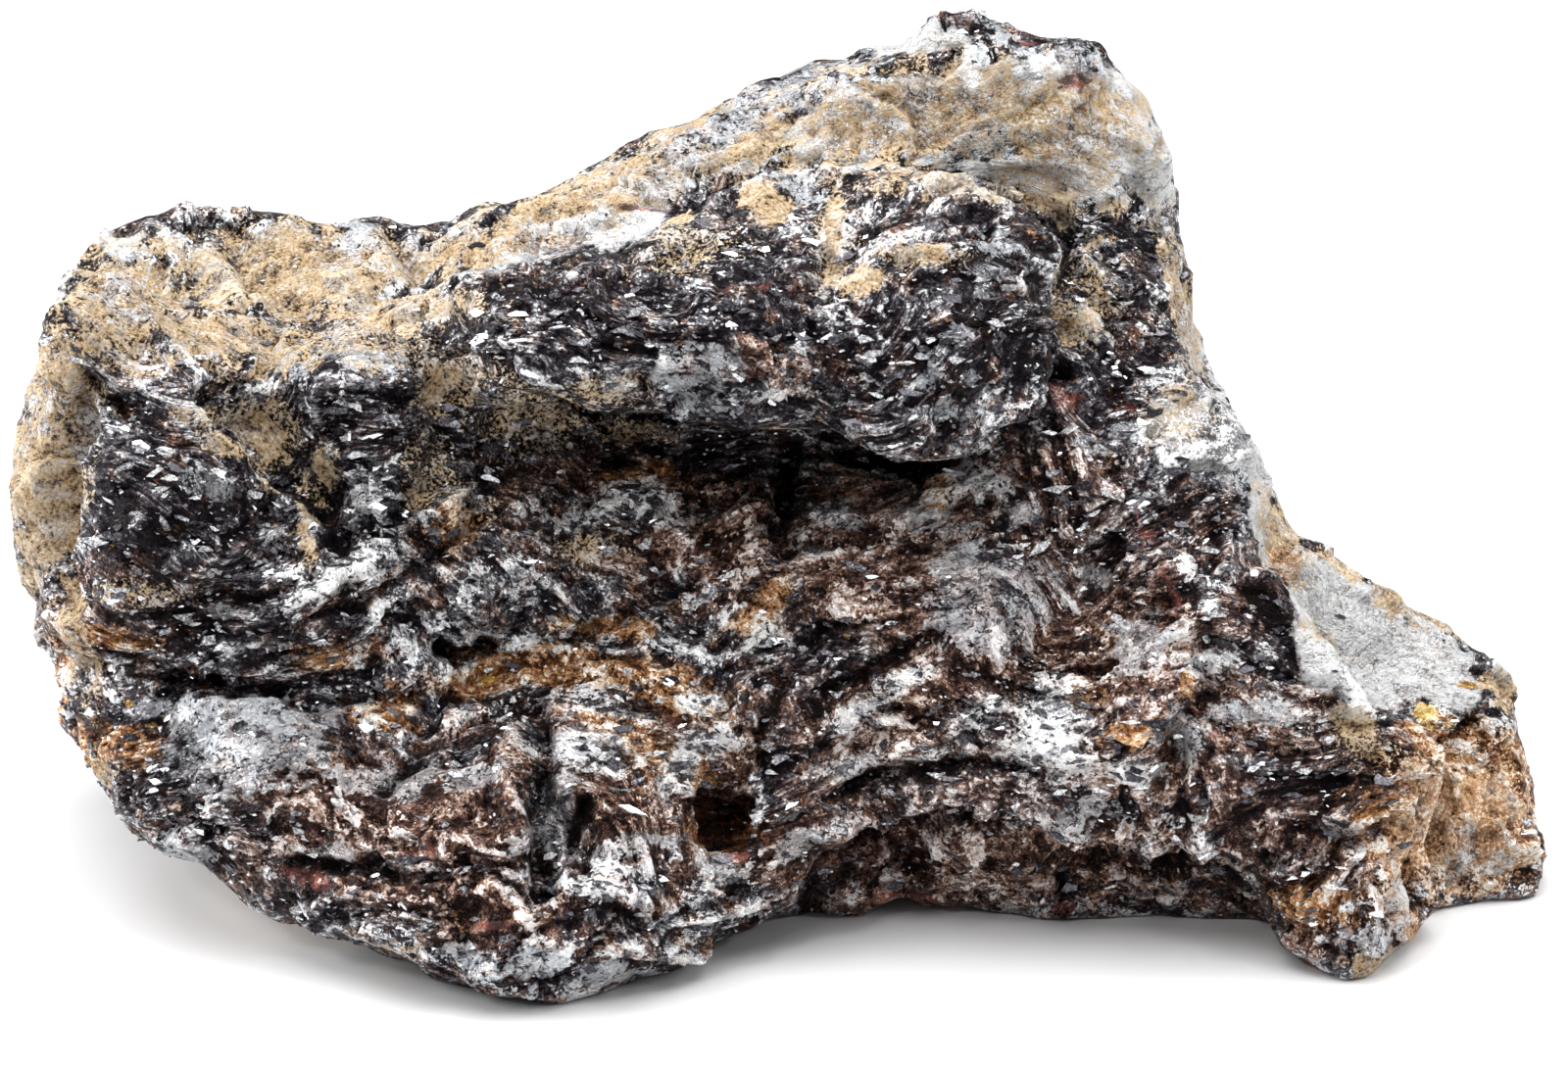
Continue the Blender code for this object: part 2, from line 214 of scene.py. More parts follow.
PATCHES = {
    "ochre": [
        (930, 120, 190, 62, -8), (1090, 130, 110, 66), (1010, 200, 160, 18, 4), (500, 250, 130, 28, -14),
        (300, 275, 170, 60), (130, 310, 80, 70), (250, 350, 160, 30, 10), (60, 440, 46, 150, 6),
        (600, 200, 160, 34, -18), (760, 150, 110, 20, -28), (700, 130, 60, 14, -28),
        (400, 320, 110, 26, -5), (75, 640, 20, 80, -12), (188, 430, 34, 13, 35), (226, 463, 30, 12, 40),
        (262, 440, 50, 34, 30), (330, 480, 20, 30, 20), (266, 491, 34, 12, 32), (306, 522, 28, 12, 52),
        (313, 556, 11, 24, -10), (40, 500, 40, 130), (450, 385, 30, 20), (850, 245, 16, 52),
        (880, 290, 34, 16, -20), (940, 257, 46, 10), (785, 215, 30, 16), (1075, 270, 10, 30, -10),
        (1125, 245, 20, 10), (1110, 330, 26, 26, 30), (1205, 310, 20, 90, -12), (1205, 402, 30, 12, 15),
        (1310, 555, 20, 60, -20), (1440, 785, 14, 20), (1380, 738, 30, 16, 30), (1345, 655, 14, 34, -50),
        (1430, 610, 120, 20, 30), (1500, 840, 70, 80), (1436, 870, 20, 60, 10), (1400, 985, 40, 12, -25),
        (1440, 940, 14, 40, 10), (100, 785, 30, 18, 10), (1530, 700, 20, 40), (405, 965, 26, 6),
        (690, 242, 34, 8, -10),
    ],
    "amber": [
        (735, 850, 30, 22), (1345, 925, 46, 24), (1440, 930, 16, 50, 8), (625, 735, 44, 14, 10),
        (640, 690, 80, 16, 8), (700, 722, 44, 22, 40), (560, 672, 60, 16), (745, 632, 34, 10, -42),
        (500, 688, 50, 16, -12), (1500, 820, 90, 90), (680, 770, 50, 20, 10), (1110, 712, 20, 16),
        (650, 688, 62, 10, 15), (724, 738, 24, 34, 20), (560, 680, 45, 14), (710, 790, 26, 14, 10),
        (395, 725, 32, 16), (480, 690, 40, 14, -15), (660, 488, 38, 12), (130, 640, 46, 10),
        (1214, 690, 10, 22), (1310, 580, 14, 22), (1330, 920, 34, 22), (1160, 742, 28, 10, -15),
        (1500, 800, 60, 50), (1440, 870, 30, 60, 20), (960, 495, 14, 26, 30), (470, 530, 30, 20),
        (105, 760, 50, 22), (780, 620, 40, 18, -40), (340, 672, 30, 12), (1410, 830, 30, 20),
        (620, 640, 60, 10), (60, 700, 14, 44),
    ],
    "rust": [
        (640, 770, 110, 60), (1050, 720, 210, 120), (1160, 600, 130, 80, 20), (640, 810, 170, 80),
        (1310, 790, 120, 60), (400, 830, 150, 60, 10), (880, 560, 130, 80), (1350, 910, 80, 50),
        (130, 620, 90, 40), (740, 520, 62, 32), (790, 368, 62, 16), (860, 500, 55, 40), (880, 620, 62, 42),
        (430, 850, 52, 36), (440, 905, 90, 26), (1050, 682, 62, 26), (1110, 625, 40, 36),
        (120, 605, 62, 26), (1085, 86, 34, 22), (620, 820, 62, 22), (1150, 735, 34, 24), (740, 842, 34, 40),
        (330, 670, 32, 18), (1000, 880, 220, 40), (920, 922, 70, 14), (640, 750, 60, 30, 10),
        (1000, 740, 42, 34), (1110, 780, 60, 34), (930, 800, 60, 14, -10), (500, 940, 70, 24),
        (1320, 860, 80, 16), (1080, 500, 60, 50), (1270, 790, 40, 24), (250, 870, 24, 40, 30),
        (600, 480, 70, 30), (680, 560, 60, 24), (760, 580, 60, 34, -40),
    ],
    "plate_and_highlight": [
        (800, 100, 90, 30, -28), (290, 745, 76, 38), (200, 740, 50, 30, 20), (400, 800, 60, 30),
        (560, 830, 36, 60, 20), (1000, 110, 170, 60, -8), (1110, 140, 90, 60), (760, 130, 100, 30, -28),
        (1250, 450, 30, 60, -30), (985, 575, 40, 30, -20), (1040, 590, 40, 34), (975, 640, 34, 20),
        (380, 372, 60, 16, 5), (120, 252, 26, 10, 10), (260, 752, 84, 46), (225, 790, 60, 30),
        (330, 868, 36, 12), (190, 868, 34, 12, 20), (1020, 610, 78, 60, -20), (1010, 645, 60, 30, -5),
        (1160, 655, 28, 36, 20), (1400, 650, 95, 42, 27), (1480, 700, 60, 20, 35), (1120, 827, 52, 18),
        (725, 378, 44, 34), (700, 400, 46, 16, 20), (870, 535, 16, 9), (950, 520, 30, 10),
        (1040, 520, 24, 18), (980, 540, 26, 9), (640, 228, 56, 20, -18), (540, 262, 60, 13, -10),
        (700, 118, 32, 20, -35), (825, 70, 28, 14, -25), (930, 38, 60, 11, -8), (1030, 25, 30, 12, 20),
        (860, 125, 110, 22, -20), (1140, 150, 48, 45), (1110, 62, 40, 16, 25), (1160, 110, 26, 40, 30),
        (820, 197, 30, 16), (1010, 270, 26, 34), (1265, 440, 22, 40, -30), (1285, 525, 16, 22),
        # The four small plates on the tongue's lower rim, about 950 to 990 across and 337 to 416 down, are
        # painted highlight
        (1260, 728, 40, 12), (1310, 735, 20, 8), (975, 337, 12, 10), (950, 385, 12, 14), (990, 385, 16, 10),
        (965, 416, 12, 10), (200, 500, 34, 14, 20), (330, 378, 52, 12), (385, 262, 30, 10),
        (375, 235, 30, 8), (810, 865, 22, 18, -20), (845, 887, 18, 7, -25), (625, 870, 30, 9, -10),
        (480, 800, 60, 12, -15), (470, 975, 26, 14), (620, 990, 40, 14), (230, 622, 14, 12),
        (550, 665, 20, 8), (1120, 590, 20, 16), (1060, 630, 30, 12), (1150, 440, 26, 12),
        (1470, 822, 20, 22), (1400, 960, 40, 20), (1370, 850, 50, 12, 10), (680, 855, 60, 7),
        (160, 720, 20, 14), (1210, 750, 22, 40), (1075, 735, 24, 30), (540, 990, 40, 16),
        (740, 880, 40, 14),
    ],
    "frost": [
        (940, 115, 190, 56, -8), (1100, 140, 96, 80), (1010, 190, 150, 18, 4), (370, 262, 70, 34),
        (130, 300, 60, 50, -10), (700, 160, 120, 40, -28), (560, 240, 110, 30, -16), (60, 430, 36, 70, 6),
        (1470, 650, 70, 40, 35), (1500, 880, 50, 40), (330, 330, 110, 26), (1420, 930, 40, 60),
        (1205, 330, 20, 70, -10),
    ],
    "grains": [
        (460, 395, 60, 46), (545, 425, 80, 50), (440, 480, 36, 60), (620, 400, 60, 26), (390, 350, 70, 26),
        (150, 600, 60, 16), (275, 430, 60, 40, 20), (850, 250, 30, 60), (930, 262, 70, 14),
        (1110, 300, 40, 50), (1080, 185, 100, 30), (470, 520, 40, 30), (600, 560, 50, 20),
        (1390, 760, 50, 20, 30), (640, 440, 60, 20), (1200, 420, 50, 40), (700, 260, 80, 20, -10),
    ],
    # Pale grey films, and painted sheen: lighter patches on top and side faces where they catch the light
    "pale_and_sheen": [
        (1085, 185, 70, 20, 5), (1150, 95, 26, 50, 30), (1345, 670, 22, 40, -40), (940, 112, 150, 34, -8),
        (1120, 130, 60, 56), (1235, 445, 34, 44, -30), (1332, 622, 34, 20, 50), (1215, 440, 44, 30, 35),
        (1360, 618, 62, 34, 38), (1420, 660, 70, 40, 35), (1470, 690, 52, 26, 35), (1395, 690, 40, 34, 50),
        (1135, 160, 60, 40, 10), (1140, 110, 40, 30, 30), (1000, 90, 110, 22, -8), (860, 120, 70, 20, -20),
        (640, 228, 44, 16, -20), (930, 42, 60, 12, -8), (122, 252, 20, 9, 10), (1180, 170, 20, 40),
        (1278, 460, 16, 50, -25), (1290, 545, 12, 40, -15), (1215, 350, 10, 34, -10),
        (840, 178, 60, 10, -5), (1020, 170, 60, 10),
    ],
    # Painted highlights: white reflections and glints painted on as patches where the face catches the light
    "painted_highlight": [
        (1000, 735, 34, 26, -10), (778, 812, 10, 26, 10), (655, 518, 46, 12, 5), (210, 660, 50, 6),
        (370, 500, 16, 30, 30), (850, 520, 20, 14), (1225, 435, 56, 40, 25), (1065, 745, 46, 52, 20),
        (880, 725, 40, 10, -30), (600, 765, 44, 14, 10), (930, 690, 34, 9, -20), (700, 770, 16, 40, 20),
        (1070, 772, 36, 9), (660, 527, 36, 9, 5), (610, 522, 22, 9, -10), (600, 905, 52, 8, 8),
        (590, 772, 44, 12, 15), (620, 722, 52, 9, 15), (780, 645, 24, 8, -40), (745, 625, 38, 7, -45),
        (715, 610, 20, 7, -30), (700, 665, 26, 12, 40), (310, 610, 20, 7), (300, 585, 26, 7, 5),
        (215, 492, 13, 8), (145, 527, 8, 8), (1010, 490, 30, 8, 20), (980, 480, 12, 12),
        (1250, 672, 30, 8, -10), (1290, 660, 12, 14, -30), (1240, 590, 34, 8, 10), (1235, 612, 8, 16),
        (1125, 455, 22, 5, -15), (1160, 510, 14, 7, -30), (870, 780, 34, 8, -20), (950, 770, 40, 6, -25),
        (730, 755, 12, 26, 10), (720, 715, 22, 8), (1370, 700, 8, 26, -25), (1280, 780, 32, 6, 10),
        (1155, 780, 24, 14, 20), (620, 885, 40, 6, 5), (740, 900, 24, 5, -10), (1350, 960, 6, 5),
        (360, 580, 26, 6, 30), (500, 655, 40, 6), (840, 182, 42, 4, -5), (265, 392, 14, 9),
        (1380, 925, 12, 6), (860, 110, 16, 16), (700, 100, 20, 8, -30), (1060, 70, 8, 16),
    ],
    # Black metal, and painted shade: black laid in the hollows under the ledge and the tongue, under
    # overhanging lips, in the hole and in the chin, where shade falls
    "black_and_shade": [
        (1085, 80, 40, 14), (800, 275, 60, 30), (690, 280, 50, 30), (125, 735, 60, 40),
        (1080, 430, 100, 30), (1010, 815, 90, 14), (730, 272, 90, 34), (520, 345, 50, 34),
        (880, 420, 70, 24), (1150, 745, 30, 20), (310, 352, 30, 10), (510, 440, 100, 50),
        (450, 490, 50, 50), (860, 468, 110, 14), (1310, 900, 40, 40, 40), (745, 440, 60, 24),
        (600, 330, 160, 46, -10), (720, 265, 70, 30), (150, 530, 110, 40), (240, 636, 70, 14),
        (165, 440, 90, 36), (900, 340, 110, 40), (1000, 320, 70, 70), (1130, 236, 62, 16, 8),
        (1150, 285, 14, 60), (1130, 370, 60, 26), (640, 420, 120, 24), (700, 465, 80, 14),
        (820, 480, 20, 60), (830, 670, 60, 34), (555, 800, 12, 80), (580, 855, 26, 30), (790, 790, 20, 60),
        (960, 790, 120, 10, -8), (420, 310, 22, 10), (385, 326, 16, 8), (260, 312, 30, 10, 15),
        (355, 435, 90, 75), (105, 420, 26, 50), (140, 500, 80, 80), (210, 560, 120, 60, 25),
        (170, 620, 150, 50), (930, 440, 80, 14), (480, 665, 20, 8), (1000, 850, 60, 10),
        (1150, 535, 110, 60), (1340, 800, 80, 40), (1115, 280, 50, 34), (165, 790, 60, 44),
        (230, 850, 34, 60, 20), (400, 885, 90, 8), (720, 835, 24, 14), (1370, 905, 16, 14),
        (1282, 655, 44, 40, 30), (95, 290, 22, 26), (880, 165, 40, 8, 10), (480, 760, 60, 16, -20),
        (1140, 88, 8, 8), (1480, 870, 10, 44, 20), (350, 930, 60, 14),
    ],
    "red": [
        (1155, 520, 6, 40, -25), (1198, 615, 7, 34, -10), (1152, 415, 9, 7), (310, 895, 30, 10, 15),
        (330, 905, 16, 8), (1090, 930, 22, 8), (920, 915, 50, 8, 5), (725, 282, 40, 4, 3),
        (780, 288, 34, 4), (660, 212, 44, 4, 5), (1098, 82, 20, 12), (500, 945, 24, 5),
        (1170, 545, 16, 5, 20), (690, 740, 6, 30, -40), (1050, 42, 14, 6), (1085, 400, 30, 24),
        (745, 858, 26, 18), (722, 828, 18, 24), (1340, 985, 14, 6, 30), (430, 870, 30, 7),
        (750, 866, 20, 14),
    ],
    "gold": [
        (135, 719, 8, 5, 20), (1455, 728, 16, 24, -15), (1410, 656, 3, 3), (1500, 700, 16, 6, 10),
        (155, 740, 8, 4), (1480, 740, 14, 8), (500, 688, 12, 4, -10), (1350, 870, 8, 4), (560, 556, 6, 3),
        (120, 555, 8, 3), (862, 650, 7, 6),
    ],
}

# Creases and crests drawn on the face: rise in millimetres, half width in pixels,
# and then the points of their line in pixels across and down

MARKS = [
    (-2.6, 14, 545, 738, 550, 800, 562, 850, 555, 908),
    (1.0, 16, 515, 760, 522, 810, 530, 860),
    (-1.0, 8, 60, 672, 120, 684, 170, 682, 235, 700, 290, 700),
    (-1.3, 9, 280, 704, 333, 718, 365, 708, 420, 712),
    (1.2, 16, 80, 640, 150, 655, 240, 668, 320, 690),
    (2.1, 64, 165, 500, 185, 560),
    (1.1, 46, 345, 420, 365, 450),
    (1.2, 15, 100, 388, 150, 400, 190, 420, 225, 455, 242, 490, 290, 515, 322, 545),
    (-2.0, 19, 215, 405, 262, 440, 285, 480, 330, 512, 350, 545),
    (1.2, 11, 475, 500, 400, 556, 320, 606, 240, 636),
    (-1.3, 8, 490, 530, 410, 590, 330, 638, 250, 660),
    (0.9, 22, 300, 370, 360, 365, 415, 385, 432, 430),
    (-1.4, 14, 440, 400, 450, 450, 440, 500, 400, 540),
    (-2.6, 8, 452, 664, 475, 670, 505, 664),
    (-2.4, 15, 828, 935, 850, 885, 885, 852, 960, 838, 1030, 850, 1100, 872, 1200, 880),
    (1.4, 14, 840, 850, 880, 830, 960, 808, 1020, 818, 1070, 840, 1130, 850, 1230, 852),
    (-1.5, 8, 296, 886, 340, 885, 385, 876, 402, 892, 440, 888, 472, 872),
    (-2.0, 11, 806, 455, 800, 500, 802, 560),
    (-1.2, 8, 850, 704, 880, 684, 950, 650),
    (-1.4, 8, 872, 798, 930, 785, 990, 778, 1060, 784),
    (-1.6, 13, 1232, 640, 1246, 700, 1200, 745, 1192, 800, 1205, 835),
    (-1.8, 10, 1455, 935, 1452, 885, 1464, 845, 1458, 795),
    (-2.4, 15, 92, 392, 78, 440, 66, 500, 56, 556, 62, 610),
    (-1.2, 8, 1075, 222, 1085, 280, 1100, 330),
    (-2.2, 11, 1085, 380, 1050, 425, 995, 462, 940, 476, 895, 468, 845, 446),
    (1.0, 13, 1062, 375, 1030, 410, 985, 440, 938, 450, 900, 442, 852, 420),
    (-1.0, 9, 1082, 225, 1092, 270, 1096, 330, 1085, 380),
    (1.3, 14, 662, 268, 700, 238, 760, 210, 830, 186, 950, 198, 1030, 218, 1075, 272),
    (1.0, 12, 1284, 592, 1330, 660, 1382, 722, 1448, 782),
    (1.0, 13, 855, 745, 900, 700, 960, 688, 1010, 716),
    (0.9, 9, 860, 790, 900, 768, 975, 742),
    (0.8, 10, 555, 902, 610, 906, 660, 918),
    (0.9, 12, 598, 680, 660, 690, 720, 722, 745, 770),
    (-1.0, 7, 790, 700, 775, 760, 785, 820, 770, 860),
    (1.4, 32, 1148, 782, 1156, 780),
    (1.6, 36, 1060, 745, 1072, 748),
    (1.3, 36, 425, 845, 440, 850),
    (1.2, 30, 640, 500, 665, 498),
    (-2.6, 17, 722, 824, 744, 832),
    (1.6, 15, 562, 850, 566, 872),
    (-2.0, 15, 733, 848, 748, 856),
    (-1.6, 7, 596, 818, 588, 842, 582, 866),
    (-1.2, 10, 1330, 845, 1390, 858, 1440, 838),
    (-1.0, 8, 1320, 900, 1345, 905),
    (1.0, 16, 150, 250, 190, 262, 235, 290, 262, 316),
    (-1.2, 14, 240, 260, 262, 300, 330, 330, 385, 325),
    (-1.4, 8, 404, 236, 412, 262, 428, 275),
    (-1.2, 12, 500, 690, 440, 720, 420, 770, 390, 800),
    (-1.2, 9, 700, 590, 650, 622, 590, 650),
]

# Swirls that turn the stone's grain: pixels across and down, reach in pixels, turn in degrees

SWIRLS = [
    (190, 520, 130, -25), (950, 360, 120, 70), (760, 630, 120, 45), (900, 740, 110, 35), (560, 820, 70, 80),
    (1260, 700, 120, -30), (1180, 500, 110, 20), (700, 830, 90, -35), (350, 580, 110, 35),
    (280, 780, 120, 20), (600, 300, 120, -20), (1480, 820, 110, -60), (350, 420, 80, 60),
    (1090, 140, 110, -40), (1370, 920, 80, 50), (450, 930, 90, -20),
]

# Small ones are drawn by chance, each of the four numbers between these

SMALL_SWIRLS = 90
SMALL_SWIRL_RANGES = ((0, 1600), (0, 1087), (35, 90), (-75, 75))


def grain_coordinates(points):
    """Coordinates in millimetres that run along the stone's grain, across it and through it."""
    flow = leaning(points)
    scale = FOCAL_PIXELS / CAMERA_DISTANCE
    chance = np.random.default_rng(31)
    small = []
    for _ in range(SMALL_SWIRLS):
        small.append([chance.uniform(least, most) for least, most in SMALL_SWIRL_RANGES])
    for across, down, reach, turn in SWIRLS + small:
        middle = np.array([(across - PHOTO_MIDDLE[0]) / scale, (PHOTO_MIDDLE[1] - down) / scale])
        offset = flow[:, :2] - middle
        near = np.exp(-np.einsum("ij,ij->i", offset, offset) / (reach / scale) ** 2)
        angle = math.radians(turn) * near
        flow[:, 0] = middle[0] + offset[:, 0] * np.cos(angle) + offset[:, 1] * np.sin(angle)
        flow[:, 1] = middle[1] - offset[:, 0] * np.sin(angle) + offset[:, 1] * np.cos(angle)
    for axis in range(3):
        flow[:, axis] += 2.6 * noise(points, 13, 20 + axis) + 0.7 * noise(points, 4, 24 + axis)
    return flow


def patch_share(kind, across, down):
    """How far inside the nearest patch of this kind each point lies: over 0.5 is inside."""
    share = np.zeros(len(across))
    for x, y, half_width, half_height, *turned in PATCHES[kind]:
        turn = math.radians(sum(turned))
        cosine, sine = math.cos(turn), math.sin(turn)
        along = ((across - x) * cosine + (down - y) * sine) / half_width
        over = ((down - y) * cosine - (across - x) * sine) / half_height
        share = np.maximum(share, 1 - 0.5 * np.hypot(along, over))
    return share


def drawn_marks(across, down):
    """The height in millimetres that the drawn creases and crests give each point."""
    height = np.zeros(len(across))
    for rise, half_width, *line in MARKS:
        ends = list(zip(line[::2], line[1::2]))
        nearest = np.full(len(across), np.inf)
        for (x0, y0), (x1, y1) in zip(ends, ends[1:]):
            step_x, step_y = x1 - x0, y1 - y0
            share = ((across - x0) * step_x + (down - y0) * step_y) / (step_x**2 + step_y**2)
            share = np.clip(share, 0, 1)
            nearest = np.minimum(nearest, np.hypot(across - x0 - share * step_x, down - y0 - share * step_y))
        height += rise * np.exp(-((nearest / half_width) ** 2))
    return height


def shingles(grain, spacing, seed):
    """Overlapping leaves that run along the grain, 1 at each lower lip and 0 just below it."""
    place = grain[:, 1] / spacing + 0.9 * noise(grain, (6 * spacing, 2 * spacing, 3 * spacing), seed)
    place += 0.25 * noise(grain, (1.5 * spacing, 0.8 * spacing, spacing), seed + 1)
    return (1 - (place - np.floor(place))) ** 1.6


# The sides that the camera doesn't see: how common each finish, painted highlight, sheen and shade is there,
# its size in millimetres, its seed

OTHER_SIDES = {
    "ochre": (0.54, 14, 40),
    "amber": (0.44, 10, 50),
    "rust": (0.52, 9, 80),
    "plate_and_highlight": (0.36, 11, 60),
    # Pale films with painted sheen
    "pale_and_sheen": (0.30, 12, 64),
    "grains": (0.45, 9, 66),
    "frost": (0.36, 11, 68),
    # Painted highlights, then black metal with painted shade
    "painted_highlight": (0.25, 7, 65),
    "black_and_shade": (0.50, 9, 70),
    "red": (0.20, 7, 90),
    "gold": (0.18, 6, 95),
}

# Forms of the relief: height in millimetres, and the share of it lost on flat plates and under crust

RELIEF = {
    "folds": (0.5, 0.0, 0.0),
    "facets": (1.2, 0.75, 0.0),
    "leaves": (0.5, 0.8, 0.0),
    "small_leaves": (0.25, 0.8, 0.8),
    "scales": (0.55, 0.7, 0.5),
    "fibres": (0.15, 0.8, 0.7),
}

# Their lengths in millimetres along the grain, across it and through it, and the leaves' spacing

FOLD_SIZE = (16.0, 5.0, 9.0)
FACET_SIZE = (6.2, 4.4, 5.5)
LEAF_SPACING = 5.2
SMALL_LEAF_SPACING = 1.7
SCALE_SIZE = (2.2, 1.4, 1.9)
FIBRE_SIZE = (5.0, 0.9, 2.2)
CRUMB_SIZE = (1.3, 1.3, 1.3)

# Levels that leave the relief as much above the smooth skin as below it

FOLD_MEAN = 0.55
LEAF_MEAN = 0.4
FIBRE_MEAN = 0.5

# The fine mesh: its spacing in millimetres, its smoothing and its thinning, which the front gets least of

VOXEL = 0.4
SMOOTHING_ROUNDS = 6
CREST_ROUNDS = 12
MOST_TRIANGLES = 196000
HIDDEN_LEVELS = 10
FRONT_LEVELS = 7.5


def shares_at(points, front):
    """How far inside a patch of each finish, painted highlight, painted sheen and painted shade every point
    lies, on the face and on the other sides.
    """
    across, down = photo_place(points)
    shares = {}
    for kind, (level, size, seed) in OTHER_SIDES.items():
        elsewhere = (1 - front) * (level + 0.5 * fractal(points, size, seed))
        shares[kind] = np.maximum(patch_share(kind, across, down) * front, elsewhere)
    return shares


def fine_skin():
    """The stone's skin as fine arrays: smooth points in millimetres, and faces."""
    source = bpy.data.objects.new("source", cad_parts[STONE].data.copy())
    bpy.context.scene.collection.objects.link(source)
    welded = bmesh.new()
    welded.from_mesh(source.data)
    bmesh.ops.remove_doubles(welded, verts=welded.verts, dist=1e-6)
    welded.to_mesh(source.data)
    welded.free()
    mesh = after_modifier(source, "REMESH", mode="VOXEL", voxel_size=VOXEL * MM)
    bpy.data.objects.remove(source)
    points, faces = mesh_arrays(mesh)
    bpy.data.meshes.remove(mesh)
    return relaxed(points, faces, SMOOTHING_ROUNDS), faces


def relief(points, normals, front, share):
    """How far the folds, leaves, scales, crust and drawn marks lift each point, in millimetres."""
    grain = grain_coordinates(points)
    facing = normals @ TOWARD
    crust = smooth_step(0.3, 0.7, share["ochre"] + 0.2 * fractal(points, 5, 100))
    flat = np.maximum(share["plate_and_highlight"], share["pale_and_sheen"]) + 0.1 * fractal(points, 5, 104)
    flat = smooth_step(0.4, 0.8, flat) * (1 - 0.6 * crust)
    leafy = smooth_step(-0.35, 0.35, fractal(points, 12, 170, 2)) * (1 - 0.7 * crust)
    forms = {
        "folds": ridges(grain, FOLD_SIZE, 140) - FOLD_MEAN,
        "facets": tilted_cells(grain, FACET_SIZE, 120),
        "leaves": (shingles(grain, LEAF_SPACING, 180) - LEAF_MEAN) * leafy,
        "small_leaves": shingles(grain, SMALL_LEAF_SPACING, 184) - LEAF_MEAN,
        "scales": tilted_cells(grain, SCALE_SIZE, 110),
        "fibres": ridges(grain, FIBRE_SIZE, 130) - FIBRE_MEAN,
    }
    height = 0.35 * fractal(points, 7, 160)
    for name, form in forms.items():
        rise, lost_on_plates, lost_under_crust = RELIEF[name]
        height += rise * form * (1 - lost_on_plates * flat) * (1 - lost_under_crust * crust)
    crumbs = tilted_cells(points, CRUMB_SIZE, 125)
    height += (0.22 * fractal(points, 1.6, 150, 3) + 0.3 * crumbs) * crust
    # Calmer along the outline, where relief would stand out as spikes
    height *= 0.3 + 0.7 * smooth_step(0.1, 0.55, np.abs(facing))
    across, down = photo_place(points)
    across += 5 * noise(points, 3, 190)
    down += 5 * noise(points, 3, 191)
    height += drawn_marks(across, down) * front
    # None at the floor, so that the stone stands flat
    return height * smooth_step(0.0, 2.5, points[:, 2])


def read_vectors(data, field):
    """Three values a point, from a mesh's own data or from an attribute."""
    values = np.empty(len(data) * 3, np.float32)
    data.foreach_get(field, values)
    return values.reshape(-1, 3).astype(float)


def write_numbers(mesh, name, *columns):
    """Up to three numbers a point, for the material or a later step to read."""
    values = np.zeros((len(columns[0]), 3), np.float32)
    for place, column in enumerate(columns):
        values[:, place] = column
    made = mesh.attributes.new(name, "FLOAT_VECTOR", "POINT")
    made.data.foreach_set("vector", values.ravel())


def thin_out(skin, faces, front):
    """Bring the skin down to its number of triangles, most of them where the camera looks."""
    if len(faces) * 2 > MOST_TRIANGLES:
        group = skin.vertex_groups.new(name="hidden")
        levels = np.round(HIDDEN_LEVELS - FRONT_LEVELS * front)
        for level in range(1, HIDDEN_LEVELS + 1):
            group.add(np.nonzero(levels == level)[0].tolist(), level / HIDDEN_LEVELS, "REPLACE")
        skin.data = after_modifier(skin, "DECIMATE", ratio=MOST_TRIANGLES / (len(faces) * 2),
                                   vertex_group="hidden", vertex_group_factor=1.0)
        skin.vertex_groups.clear()
    skin.data.shade_smooth()


def set_on_floor(mesh):
    """Bring points that have come out below the floor up to it."""
    points = read_vectors(mesh.vertices, "co")
    points[:, 2] = np.maximum(points[:, 2], 0.0)
    mesh.vertices.foreach_set("co", points.astype(np.float32).ravel())
    mesh.update()


def write_finishes(mesh, rest, crest_for_painted_light):
    """Give each point the finishes, painted highlights, painted sheen and painted shade that it lies in, and
    its height above the nearby skin for painted light on crests and in creases, for the material to read.
    """
    front = smooth_step(-0.25, 0.1, read_vectors(mesh.vertices, "normal") @ TOWARD)
    share = shares_at(rest, front)
    ragged = 0.12 * fractal(rest, 3.0, 200, 3)
    clusters = 1.6 * fractal(rest, 8.0, 210, 3)
    write_numbers(mesh, "grain", *grain_coordinates(rest).T)
    write_numbers(mesh, "crust", *(share[kind] + ragged for kind in ("ochre", "amber", "rust")))
    write_numbers(mesh, "metal", *(share[kind] - ragged for kind in ("plate_and_highlight", "painted_highlight", "black_and_shade")))
    write_numbers(mesh, "frost", share["frost"] + ragged)
    write_numbers(mesh, "coat", share["pale_and_sheen"] + ragged, share["grains"], clusters)
    write_numbers(mesh, "stain_and_crest_light", share["red"] + ragged, share["gold"] - ragged, crest_for_painted_light)


def build_skin():
    """The fine skin of the whole stone, with what the material reads at each point."""
    points, faces = fine_skin()
    normals = point_normals(points, faces)
    facing = relaxed((normals @ TOWARD)[:, None], faces, SMOOTHING_ROUNDS)[:, 0]
    front = smooth_step(0.02, 0.2, facing)
    height = relief(points, normals, front, shares_at(points, front))
    # Height above the nearby skin, with which the material paints crests lighter and creases darker
    crest_for_painted_light = height - relaxed(height[:, None].copy(), faces, CREST_ROUNDS)[:, 0]
    lifted = points + normals * height[:, None]
    lifted[:, 2] = np.maximum(lifted[:, 2], 0.0)

    skin = mesh_object("hematite_skin", lifted, faces.tolist())
    write_numbers(skin.data, "rest", *points.T)
    write_numbers(skin.data, "crest_for_painted_light", crest_for_painted_light)
    thin_out(skin, faces, front)
    set_on_floor(skin.data)

    rest = read_vectors(skin.data.attributes["rest"].data, "vector")
    crest_for_painted_light = read_vectors(skin.data.attributes["crest_for_painted_light"].data, "vector")[:, 0]
    for name in ("rest", "crest_for_painted_light"):
        skin.data.attributes.remove(skin.data.attributes[name])
    write_finishes(skin.data, rest, crest_for_painted_light)
    return skin


# Materials

